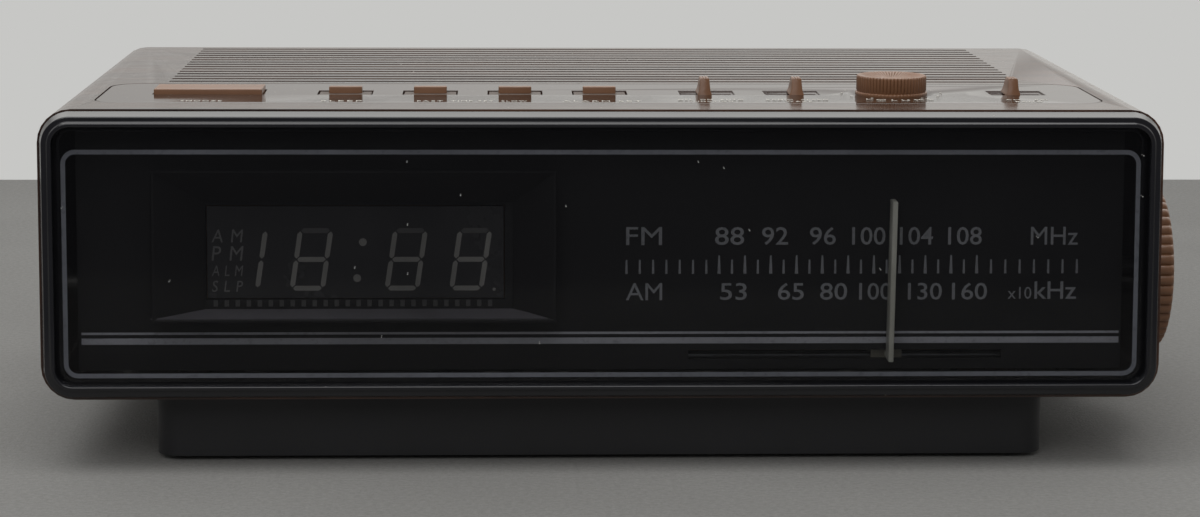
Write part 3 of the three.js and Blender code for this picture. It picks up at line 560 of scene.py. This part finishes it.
# ---------------------------------------------------------------- clock display
DISPLAY = box_mm("display_panel")
DIGIT_BOTTOM = 44.9
DIGIT_TOP = 60.9
DIGIT_SLANT = 0.15
SEGMENT = 1.25          # width of a segment
SEGMENT_GAP = 0.22
ONE = (-96, -87.8)      # left and right edges of the tens of hours, then of the other digits
DIGITS = ((-80.2, -71.2), (-56.0, -47.1), (-39.5, -30.7))
DOTS = ((-61.4, 57.3, 1.0), (-62.9, 48.1, 1.0), (-27.9, 45.2, 0.42))    # colon and alarm dot: x, z, radius
PIN_COUNT = 26
PIN_PITCH = 2.8
PIN_WIDTH = 1.1


def slanted(x, set_back, z):
    """A point of a digit, which leans to the right as it rises."""
    return on_front(x + (z - DIGIT_BOTTOM) * DIGIT_SLANT, set_back, z)


def segment_outline(kind, left, right):
    """Six-sided outline of one segment of a seven-segment digit, before slanting."""
    t = SEGMENT / 2
    levels = {"top": DIGIT_TOP - t, "middle": (DIGIT_BOTTOM + DIGIT_TOP) / 2, "bottom": DIGIT_BOTTOM + t}
    if kind in levels:
        z = levels[kind]
        a, b = left + t + SEGMENT_GAP, right - t - SEGMENT_GAP
        return [(a, z), (a + t, z - t), (b - t, z - t), (b, z), (b - t, z + t), (a + t, z + t)]
    x = left + t if kind.startswith("left") else right - t
    below, above = ("middle", "top") if kind.endswith("upper") else ("bottom", "middle")
    low, high = levels[below] + SEGMENT_GAP, levels[above] - SEGMENT_GAP
    return [(x, low), (x + t, low + t), (x + t, high - t), (x, high), (x - t, high - t), (x - t, low + t)]


def clock_display():
    """The display's body and face, its unlit digits, and the row of pins under them."""
    left, right, _, _, bottom, top = DISPLAY
    bm = bmesh.new()
    add_bar(bm, on_front, rectangle(left, right, bottom, top), DIAL_SET, DIAL_SET + 3)
    new_piece("display_glass", bm, "case", display_look, ("display_panel",))

    plain_segments = bmesh.new()
    faint_segments = bmesh.new()
    for digit in DIGITS:
        for kind in ("left_upper", "left_lower", "right_upper", "right_lower", "middle", "bottom"):
            add_bar(plain_segments, slanted, segment_outline(kind, *digit), PRINT_NEAR, PRINT_FAR)
        add_bar(faint_segments, slanted, segment_outline("top", *digit), PRINT_NEAR, PRINT_FAR)
    for kind in ("right_upper", "right_lower"):
        add_bar(plain_segments, slanted, segment_outline(kind, *ONE), PRINT_NEAR, PRINT_FAR)
    for x, z, radius in DOTS:
        add_bar(plain_segments, on_front, circle(x, z, radius, 16), PRINT_NEAR, PRINT_FAR)
    new_piece("clock_digits", plain_segments, "case", segment_look)
    new_piece("clock_digit_tops", faint_segments, "case", faint_segment_look)

    pins = bmesh.new()
    for i in range(PIN_COUNT):
        x = -99.5 + PIN_PITCH * i
        add_bar(pins, on_front, rectangle(x, x + PIN_WIDTH, 40.9, 42.5), DIAL_SET - 0.3, DIAL_SET - 0.1)
    new_piece("display_pins", pins, "case", faint_segment_look)


clock_display()


def display_surround():
    """Flared frame from behind the window back to the display, with a lighter sill along its bottom."""
    left, right, _, _, _, top = DISPLAY
    near, far = 0.8, DIAL_SET - GAP
    # left, right, bottom and top edges, and their distance behind the front
    levels = [
        (left - 13.5, right + 13.5, 37.8, top + 10, near + 0.4),
        (left - 13.3, right + 13.3, 38.0, top + 9.8, near),
        (left - 12.9, right + 12.9, 38.4, top + 9.4, near),
        (left - 12.5, right + 12.5, 38.6, top + 9.0, near + 0.25),
        (left - 0.8, right + 2.6, 39.9, top + 1.2, far - 0.3),
        (left - 0.6, right + 2.4, 40.0, top + 1.2, far),
        (left - 1.8, right + 3.6, 39.0, top + 2.4, far),
    ]
    bm = bmesh.new()
    add_loops(bm, [[on_front(x, y, z) for x, z in rectangle(x0, x1, z0, z1)]
                   for x0, x1, z0, z1, y in levels])
    new_piece("display_surround", bm, "case", looks["matte_black"], ("display_housing",))

    sill = bmesh.new()
    front_edge = rectangle(left - 14, right + 11.3, 38.65, 38.9)
    back_edge = rectangle(left - 0.7, right + 2.9, 40, 40.3)
    add_loops(sill, [[on_front(x, y, z) for x, z in edge]
                     for edge, y in ((front_edge, near + 0.3), (back_edge, far - 0.1))],
              closed=False, cap=True)
    new_piece("display_sill", sill, "case", ledge_look)


display_surround()

# ---------------------------------------------------------------- lettering and dial printing
HEAVY = 0.005           # how much heavier than its plain form some lettering is printed


def lettering(name, words, span, look, place, spread=0.0, weight=0.0, shear=0.0):
    """Words on the case, fitted to a box (x0, x1, low, high) and set on a surface.

    place(x, height, depth) gives the surface. weight thickens the letters and shear leans them.
    """
    curve = bpy.data.curves.new(name, "FONT")
    curve.body = words
    curve.resolution_u = 3
    curve.offset = 0 if "M" in words else weight    # thickening folds the inner corners of an M
    curve.space_character = 1 + spread
    curve.extrude = 0.01
    text = bpy.data.objects.new(name, curve)
    bpy.context.scene.collection.objects.link(text)
    bpy.context.view_layer.update()
    mesh = bpy.data.meshes.new_from_object(text.evaluated_get(bpy.context.evaluated_depsgraph_get()))
    bpy.data.objects.remove(text)
    bpy.data.curves.remove(curve)
    xs = [vertex.co.x for vertex in mesh.vertices]
    ys = [vertex.co.y for vertex in mesh.vertices]
    x0, x1, low, high = span
    for vertex in mesh.vertices:
        along = (vertex.co.x - min(xs)) / (max(xs) - min(xs))
        rise = (vertex.co.y - min(ys)) / (max(ys) - min(ys)) * (high - low)
        depth = PRINT if vertex.co.z > 0 else 2 * PRINT
        vertex.co = place(x0 + along * (x1 - x0) + rise * shear, low + rise, depth)
    bm = bmesh.new()
    bm.from_mesh(mesh)
    bpy.data.meshes.remove(mesh)
    new_piece(name, bm, "case", look)


def on_dial(x, z, depth):
    """Printing on the dial plate, with depth from PRINT at its front to 2 PRINT at its back."""
    return on_front(x, DIAL_SET - 3 * PRINT + depth, z)


def on_panel(x, y, depth):
    """Printing on the control panel, with depth as on the dial."""
    return at(x, y, TOP + 3 * PRINT - depth)


refined("dial_backplate", 0.2)
# words with their left and right edges
FM_BAND = (("FM", 5.9, 15.1), ("88", 28.7, 36.2), ("92", 40.8, 47.5), ("96", 53.1, 59.8),
           ("100", 64.0, 72.6), ("104", 76.3, 84.9), ("108", 88.8, 97.5), ("MHz", 110.2, 122.4))
AM_BAND = (("AM", 5.9, 15.2), ("53", 30.1, 37.0), ("65", 45.0, 51.7), ("80", 55.9, 62.9),
           ("100", 66.0, 74.4), ("130", 78.6, 87.4), ("160", 90.0, 99.1))
for words, x0, x1 in FM_BAND:
    lettering("dial_fm_" + words, words, (x0, x1, 56.5, 61.1), dial_ink, on_dial, weight=HEAVY)
for words, x0, x1 in AM_BAND:
    lettering("dial_am_" + words, words, (x0, x1, 42.3, 46.7), dial_ink, on_dial, weight=HEAVY)
lettering("dial_am_times", "x10", (104.5, 110.6, 42.5, 45.6), dial_ink, on_dial)
lettering("dial_am_unit", "kHz", (111.4, 122.2, 42.5, 47), dial_ink, on_dial, weight=HEAVY)

TICK_BOTTOM = 49.1
SHORT_TICK = 52.7
LONG_TICK = 53.8
FIRST_TICK = 6
LEFT_PITCH = 3.42       # spacing of the marks left of the numbers, under them and right of them
TICK_PITCH = 3.325
RIGHT_PITCH = 3.71
FIRST_NUMBER = 29.8
LAST_NUMBER = FIRST_NUMBER + TICK_PITCH * 20


def dial_scale():
    """The row of tuning marks between the two bands: the long ones taper towards their tops."""
    bm = bmesh.new()
    marks = [(FIRST_TICK + LEFT_PITCH * i, False) for i in range(7)]
    marks += [(FIRST_NUMBER + TICK_PITCH * i, i % 2 == 0) for i in range(21)]
    marks += [(LAST_NUMBER + RIGHT_PITCH * i, False) for i in range(1, 8)]
    for x, long in marks:
        top = LONG_TICK if long else SHORT_TICK
        low_half, high_half = (0.42, 0.2) if long else (0.3, 0.22)
        add_bar(bm, on_front, [(x - low_half, TICK_BOTTOM), (x + low_half, TICK_BOTTOM),
                               (x + high_half, top), (x - high_half, top)], PRINT_NEAR, PRINT_FAR)
    new_piece("dial_marks", bm, "case", dial_ink)


dial_scale()


def stripes():
    """A broad and a narrow stripe printed across the full width under the display and the dial."""
    bm = bmesh.new()
    for low, high in ((31.1, 32.7), (33.6, 34.2)):
        add_bar(bm, on_front, rectangle(-133.2, 133.5, low, high), PRINT_NEAR, PRINT_FAR)
    new_piece("front_stripes", bm, "case", stripe_ink)


stripes()

LEGENDS = (("AM", 57.3, 60.6), ("PM", 52.6, 56.3), ("ALM", 48.7, 51.4), ("SLP", 44.6, 47.5))
for words, low, high in LEGENDS:
    lettering("display_" + words, words, (-99.9, -92.2, low, high), legend_look, on_dial,
              spread=0.8, weight=HEAVY, shear=0.12)

# ---------------------------------------------------------------- pointer
POINTER_TILT = 0.017


def pointer():
    """A thin blade that leans very slightly, on a foot that runs back through the dial plate."""
    x0, x1, _, y1, z0, z1 = box_mm("dial_pointer")
    foot_front = DIAL_SET - 1.2 + (z0 - BOTTOM) * LEAN
    edge = 0.18
    bm = bmesh.new()
    add_block(bm, x0, x1, 0.9, DIAL_SET - 0.6, z0, z1, edge,
              place=lambda x, y, z: on_front(x + (z - z0) * POINTER_TILT, y, z))
    add_block(bm, x0, x1, foot_front, y1, z0, z0 + 1.6, edge)
    new_piece("pointer_blade", bm, "pointer", pointer_look, ("dial_pointer",))


pointer()
refined("pointer_carriage", SMALL_EDGE)

# ---------------------------------------------------------------- keys
FLANGE_TOP = TOP - 2    # every key and slider has a flange that keeps it under the panel
FLANGE_BOTTOM = FLANGE_TOP - 2.4
FLANGE_EDGE = 0.2
FLANGE_SIDE = 1.4       # how far a key's flange stands out at its sides, and at its front and back
FLANGE_END = 1.5
OVERLAP = 0.3           # how far a key's parts run into each other
FOOT = 1.6              # half the width of the foot that a key stands on

RIB_FRONT = 42.2        # a key is a flush plate with a raised rib along its back
RIB_FALL = 0.2          # the rib's top falls towards the back
PLATE_DROP = 0.3
KEY_WIDTH = 8.7
SLOT_LENGTH = 14.4
KEY_WING = SLOT_LENGTH / 2 - GAP - KEY_WIDTH / 2    # how far the plate stands out beside the rib


def key_cap(node, body, left, right, front, back, fall):
    """The part of a key that shows, with its flange and its foot."""
    x0, x1, y0, y1, z0, z1 = box_mm(node)
    x, y = (x0 + x1) / 2, (y0 + y1) / 2
    bm = bmesh.new()
    add_block(bm, left, right, front, back, FLANGE_BOTTOM + OVERLAP, z1, 0.28, 3, drop_back=fall)
    add_block(bm, x0, x1, y0, y1, FLANGE_BOTTOM, FLANGE_TOP, FLANGE_EDGE)
    add_block(bm, x - FOOT, x + FOOT, y - FOOT, y + FOOT, z0, FLANGE_BOTTOM + 0.4, FLANGE_EDGE)
    new_piece(node + "_cap", bm, body, looks["key_brown"], (node,))


def key(name):
    """A small key: its raised rib, and its plate as a second piece."""
    node, body = name + "_button", name + "_key"
    x0, x1, y0, y1, _, _ = box_mm(node)
    left, right = x0 + FLANGE_SIDE, x1 - FLANGE_SIDE
    front, back = y0 + FLANGE_END, y1 - FLANGE_END
    key_cap(node, body, left + KEY_WING, right - KEY_WING, RIB_FRONT, back, RIB_FALL)
    bm = bmesh.new()
    add_block(bm, left, right, front, back - 0.2, FLANGE_BOTTOM + OVERLAP, TOP - PLATE_DROP, 0.15)
    new_piece(node + "_plate", bm, body, plate_look)


def snooze_bar():
    """The widest key: its cap fills its opening."""
    x0, x1, y0, y1, _, _ = box_mm("snooze_bar")
    key_cap("snooze_bar", "snooze_key", x0 + FLANGE_SIDE, x1 - FLANGE_SIDE,
            y0 + FLANGE_END, y1 - FLANGE_END, 0)


for name in ("sleep", "fast", "slow", "alarm"):
    key(name)
snooze_bar()

# ---------------------------------------------------------------- sliders
SLIDER_TOP_SET = 1      # a slider's top edges behind the front of its foot
SLIDER_TOP_DEPTH = 4.7
SLIDER_HALF = 1.9       # half the width of its foot
STEM = 1.2


def slider(name):
    """Knob with flared sides, a sloping back and a ridged top, on a stem down through the panel."""
    node = name + "_slider"
    x0, x1, y0, y1, z0, z1 = box_mm(node)
    x = (x0 + x1) / 2
    front, back = y0 + GAP, y1 - GAP
    base = TOP - 0.15       # just inside the panel's slot
    height = z1 - base
    # right half of the section across the knob, as (half width, share of the height), then its ridges
    side = [(SLIDER_HALF, 0), (1.88, 0.06), (1.74, 0.13), (1.58, 0.24), (1.44, 0.42), (1.33, 0.68),
            (1.25, 0.9), (1.14, 0.965)]
    ridges = []
    for centre in (0.74, 0, -0.74):
        ridges += [(centre + 0.28, 0.985), (centre + 0.14, 1), (centre - 0.14, 1), (centre - 0.28, 0.985)]
        if centre > -0.7:
            ridges.append((centre - 0.37, 0.945))
    section = side + ridges + [(-half, share) for half, share in reversed(side)]
    back_lean = back - front - SLIDER_TOP_SET - SLIDER_TOP_DEPTH
    # sections from front to back: where, how far the top leans in, and the rounding of the edges
    places = (
        (front, SLIDER_TOP_SET, 0.2), (front + 0.07, SLIDER_TOP_SET, 0.07),
        (front + 0.25, SLIDER_TOP_SET, 0), (back - 0.25, -back_lean, 0),
        (back - 0.07, -back_lean, 0.07), (back, -back_lean, 0.2),
    )
    loops = []
    for y, lean_in, rounding in places:
        narrowed = 1 - rounding / SLIDER_HALF
        loops.append([
            at(x + half * narrowed, y + lean_in * share,
               base + share * height - (rounding if share > 0.5 else 0))
            for half, share in section])
    bm = bmesh.new()
    add_loops(bm, loops, closed=False, cap=True)
    add_block(bm, x0, x1, y0, y1, FLANGE_BOTTOM, FLANGE_TOP, FLANGE_EDGE)
    middle = (y0 + y1) / 2
    add_block(bm, x - STEM, x + STEM, middle - STEM, middle + STEM, z0, base + 0.3, FLANGE_EDGE)
    new_piece(node + "_knob", bm, name + "_slide", looks["key_brown"], (node,))


for name in ("function", "alarm_mode", "band"):
    slider(name)

# ---------------------------------------------------------------- knobs
RIB_SAMPLES = 8


def ribbed(name, body, node, profile, ribs, place, sharp):
    """A turned knob with ribs, set by place(across, across, along).

    Each profile point is (radius, along, depth of the grooves, how far they dip along the axis).
    """
    around = ribs * RIB_SAMPLES
    loops = []
    for radius, along, depth, dip in profile:
        row = []
        for j in range(around):
            angle = 2 * math.pi * j / around
            groove = 1 - abs(math.cos(ribs * angle / 2)) ** sharp
            reach = radius - depth * groove
            row.append(place(reach * math.cos(angle), reach * math.sin(angle), along - dip * groove))
        loops.append(row)
    bm = bmesh.new()
    add_loops(bm, loops, closed=False, cap=True)
    new_piece(name, bm, body, looks["key_brown"], (node,), math.radians(50))


def volume_knob():
    """Ribbed knob with a beaded flange at its foot, a ribbed dish in its top and a shaft below."""
    x0, x1, y0, y1, z0, z1 = box_mm("volume_knob")
    x, y = (x0 + x1) / 2, (y0 + y1) / 2
    bottom, rim = TOP - 0.55, TOP + 0.6
    flange = (x1 - x0) / 2
    profile = [
        (3.4, z0, 0, 0), (4.0, z0 + 0.1, 0, 0), (4.0, bottom, 0, 0),
        (flange - 0.15, bottom, 0, 0), (flange, bottom + 0.15, 0, 0), (flange, rim - 0.3, 0.05, 0),
        (flange - 0.04, rim - 0.08, 0.14, 0.06), (flange - 0.2, rim, 0.14, 0.12),
        (flange - 0.5, rim + 0.02, 0, 0.05),
        (flange - 0.42, rim + 0.2, 0.3, 0), (flange - 0.28, rim + 0.45, 0.42, 0),
        (flange - 0.28, z1 - 0.6, 0.42, 0), (flange - 0.38, z1 - 0.22, 0.4, 0),
        (flange - 0.62, z1 - 0.04, 0.3, 0.05), (flange - 0.85, z1, 0.2, 0.16),
        (flange - 1.3, z1 - 0.06, 0, 0.3), (flange - 2.3, z1 - 0.32, 0, 0.34),
        (flange - 3.8, z1 - 0.68, 0, 0.28), (3.4, z1 - 0.84, 0, 0.12), (1.6, z1 - 0.88, 0, 0),
        (0.4, z1 - 0.88, 0, 0),
    ]
    ribbed("volume_knob_cap", "volume", "volume_knob", profile, 60,
           lambda a, b, along: at(x + a, y + b, along), sharp=0.5)


volume_knob()


def tuning_knob():
    """Large ribbed wheel on the right side, with a smooth, slightly hollow face."""
    x0, x1, y0, y1, z0, z1 = box_mm("tuning_knob")
    y, z = (y0 + y1) / 2, (z0 + z1) / 2
    radius = (z1 - z0) / 2
    profile = [
        (3.5, x0, 0, 0), (radius - 1.4, x0, 0, 0), (radius - 0.6, x0 + 0.15, 0.5, 0),
        (radius - 0.15, x0 + 0.5, 0.75, 0), (radius, x0 + 1.1, 0.8, 0), (radius, x1 - 1.3, 0.8, 0),
        (radius - 0.12, x1 - 0.75, 0.75, 0), (radius - 0.5, x1 - 0.25, 0.5, 0),
        (radius - 1.1, x1 - 0.02, 0.15, 0), (radius - 1.7, x1, 0, 0), (radius - 3.0, x1 - 0.12, 0, 0),
        (radius - 3.6, x1 - 0.6, 0, 0), (radius - 9, x1 - 0.95, 0, 0), (6, x1 - 1.1, 0, 0),
        (1, x1 - 1.15, 0, 0),
    ]
    ribbed("tuning_knob_cap", "tuning", "tuning_knob", profile, 48,
           lambda a, b, along: at(along, y + a, z + b), sharp=0.6)


tuning_knob()

# ---------------------------------------------------------------- words printed on the panel
LABEL_NEAR = 21.4       # front edges of the nearer and the farther row of words
LABEL_FAR = 25.4
LABEL_HEIGHT = 2.2
SMALL_HEIGHT = 1.7


def label(words, centre, width, near, height):
    """Printing on the panel. Where two spaces set names apart, the piece is called after the first."""
    name = words.split()[0] if "  " in words else words.replace(" ", "_")
    span = (centre - width / 2, centre + width / 2, near, near + height)
    lettering("label_" + name.lower(), words, span, white_ink, on_panel, spread=0.3)


for words, centre, width in (
        ("SNOOZE", -103.2, 10.5), ("SLEEP", -67.2, 10.5), ("FAST", -44.4, 6.6), ("TIME SET", -33.5, 11),
        ("SLOW", -22.7, 6.6), ("ALARM SET", 0, 20.5)):
    label(words, centre, width, LABEL_NEAR, LABEL_HEIGHT)
for far_words, near_words, centre, far_width, near_width in (
        ("OFF  ON  AUTO", "FUNCTION", 28.4, 17, 11), ("RADIO  ALARM", "WAKE", 51, 16, 7),
        ("AM   FM", "BAND", 111, 11, 7)):
    label(far_words, centre, far_width, LABEL_FAR, SMALL_HEIGHT)
    label(near_words, centre, near_width, LABEL_NEAR, SMALL_HEIGHT)

VOLUME = box_mm("volume_knob")
VOLUME_X, VOLUME_Y = (VOLUME[0] + VOLUME[1]) / 2, (VOLUME[2] + VOLUME[3]) / 2
WORD_RADIUS = 17
DOT_REACH = 13.2
DOT_RADIUS = 0.4


def round_volume(x, height, depth):
    """A place in the curved word in front of the volume knob: x runs along the arc."""
    angle = x / WORD_RADIUS
    reach = WORD_RADIUS - height
    return on_panel(VOLUME_X + reach * math.sin(angle), VOLUME_Y - reach * math.cos(angle), depth)


lettering("label_volume", "VOLUME", (-10, 10, 0, LABEL_HEIGHT), white_ink, round_volume, spread=0.6)


def volume_marks():
    """Dots round the volume knob's dish."""
    bm = bmesh.new()
    for step in range(11):
        angle = math.radians(-150 + 30 * step)
        x, y = VOLUME_X + DOT_REACH * math.sin(angle), VOLUME_Y + DOT_REACH * math.cos(angle)
        add_bar(bm, lambda a, depth, b: on_panel(a, b, depth), circle(x, y, DOT_RADIUS, 10),
                PRINT, 2 * PRINT)
    new_piece("volume_marks", bm, "case", white_ink)


volume_marks()

# ---------------------------------------------------------------- inner parts keep their CAD shape
replaced = {node for piece in bpy.data.objects for node in piece.get("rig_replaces", [])}
for node, piece in frame["nodes"].items():
    if node not in replaced:
        piece.data.materials.clear()
        piece.data.materials.append(looks[slot_of[node]])

# ---------------------------------------------------------------- floor, light and camera
def cloth():
    """Grey cloth that the clock stands on, with the shade of soft folds painted into its colour."""
    look = Look("cloth")
    threads = look.noise((1500, 1100, 1500), detail=3)
    fold_shade = look.noise((7, 11, 7), detail=2)
    # painted shade: the broad tone patches stand in for the light and shade of soft folds in the cloth
    tone = look.ramp(fold_shade, (0.3, linear(139, 138, 135)), (0.7, linear(149, 148, 145)))
    knots = look.noise((620, 820, 620), detail=4, rough=0.75)
    look.color(look.mix(look.span(knots, 0.35, 0.65, 0, 0.4), tone, linear(100, 99, 97)))
    look.roughness(look.span(threads, 0.3, 0.7, 0.8, 0.95))
    look.bump(threads, 0.0003, 0.6)
    return look.material


FLOOR_NEAR = -350       # edges of the cloth, in front of and behind the cabinet's front edge
FLOOR_FAR = 503
FLOOR_HALF = 1400
FLOOR_THICK = 20


def floor():
    """The slab of cloth, with its top on the ground."""
    middle = -MIDDLE_X / MM
    corners = rectangle(middle - FLOOR_HALF, middle + FLOOR_HALF, FLOOR_NEAR, FLOOR_FAR)
    bm = bmesh.new()
    add_bar(bm, lambda x, depth, y: at(x, y, -depth), corners, 0, FLOOR_THICK)
    mesh = bpy.data.meshes.new("floor")
    bm.to_mesh(mesh)
    bm.free()
    plane = bpy.data.objects.new("floor", mesh)
    bpy.context.scene.collection.objects.link(plane)
    mesh.materials.append(cloth())
    plane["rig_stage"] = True


floor()

WALL = linear(199, 199, 197)
WALL_LEFT = (0.54, 0.53, 0.51, 1)       # the wall as reflections see it
WALL_RIGHT = (0.76, 0.75, 0.72, 1)
DAYLIGHT = (2.4, 2.38, 2.32, 1)         # high up behind the object
DARK_ROOM = (0.125, 0.125, 0.135, 1)    # behind the camera
AMBIENT = (0.3, 0.3, 0.3, 1)


def world():
    """Pale wall for the camera, an even room for diffuse light, and for reflections a wall that is
    brighter to the right, daylight above it and a dark room behind the camera."""
    made = bpy.data.worlds.new("room")
    bpy.context.scene.world = made
    made.use_nodes = True
    tree = made.node_tree
    back = tree.nodes["Background"]
    coordinates = tree.nodes.new("ShaderNodeTexCoord")
    split = tree.nodes.new("ShaderNodeSeparateXYZ")
    tree.links.new(coordinates.outputs["Generated"], split.inputs["Vector"])

    def share(axis, low, high):
        """0 to 1 as a direction's part along an axis goes from low to high."""
        made = tree.nodes.new("ShaderNodeMapRange")
        made.inputs["From Min"].default_value = low
        made.inputs["From Max"].default_value = high
        tree.links.new(split.outputs[axis], made.inputs["Value"])
        return made.outputs["Result"]

    def mixed(factor, first, second):
        made = tree.nodes.new("ShaderNodeMix")
        made.data_type = "RGBA"
        tree.links.new(factor, made.inputs[0])
        for index, value in ((6, first), (7, second)):
            if isinstance(value, tuple):
                made.inputs[index].default_value = value
            else:
                tree.links.new(value, made.inputs[index])
        return made.outputs[2]

    wall = mixed(share("X", -0.2, 0.25), WALL_LEFT, WALL_RIGHT)
    lifted = mixed(share("Z", 0.3, 0.58), wall, DAYLIGHT)
    reflected = mixed(share("Y", -0.35, 0.35), DARK_ROOM, lifted)
    path = tree.nodes.new("ShaderNodeLightPath")
    lighting = mixed(path.outputs["Is Glossy Ray"], AMBIENT, reflected)
    seen = mixed(path.outputs["Is Camera Ray"], lighting, WALL)
    tree.links.new(seen, back.inputs["Color"])


world()

LIGHT_AIM = (0, 0, 0.05)


def soft_light(name, place, size, watts):
    """A large area light, in metres, aimed at the middle of the cabinet."""
    data = bpy.data.lights.new(name, "AREA")
    data.shape = "RECTANGLE"
    data.size, data.size_y = size
    data.energy = watts
    light = bpy.data.objects.new(name, data)
    light.location = place
    light.rotation_euler = (Vector(LIGHT_AIM) - Vector(place)).to_track_quat("-Z", "Y").to_euler()
    bpy.context.scene.collection.objects.link(light)


soft_light("ceiling_light", (-0.15, -0.45, 1.5), (1.5, 1.1), 12.5)
soft_light("fill_light", (-0.2, -1.1, 0.8), (0.8, 0.6), 3)

PITCH, YAW, ROLL = (math.radians(angle) for angle in (10.09, 2.09, 0.30))
CAMERA_PLACE = at(-26.3, -689.5, 177.5)
SENSOR = 36
FOCAL = 83.16


def camera():
    """The photograph's view: turned a little to the right, looking down, with a slight roll."""
    forward = Vector((math.sin(YAW) * math.cos(PITCH), math.cos(YAW) * math.cos(PITCH), -math.sin(PITCH)))
    level = Vector((math.cos(YAW), -math.sin(YAW), 0))
    upright = level.cross(forward)
    right = math.cos(ROLL) * level + math.sin(ROLL) * upright
    up = -math.sin(ROLL) * level + math.cos(ROLL) * upright
    data = bpy.data.cameras.new("photo_view")
    data.sensor_width = SENSOR
    data.sensor_fit = "HORIZONTAL"
    data.lens = FOCAL
    data.clip_start = 0.01
    made = bpy.data.objects.new("photo_view", data)
    turn = Matrix((right, up, -forward)).transposed().to_4x4()
    made.matrix_world = Matrix.Translation(CAMERA_PLACE) @ turn
    bpy.context.scene.collection.objects.link(made)
    bpy.context.scene.camera = made


camera()
bpy.context.scene.view_settings.view_transform = "Standard"

size_before_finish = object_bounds()


def plain(value):
    """Nested lists of numbers out of vectors and tuples."""
    if isinstance(value, (int, float, str)):
        return value
    if isinstance(value, dict):
        return {key: plain(item) for key, item in value.items()}
    return [plain(item) for item in value]


{"after_load": plain(size_after_load), "before_finish": plain(size_before_finish)}
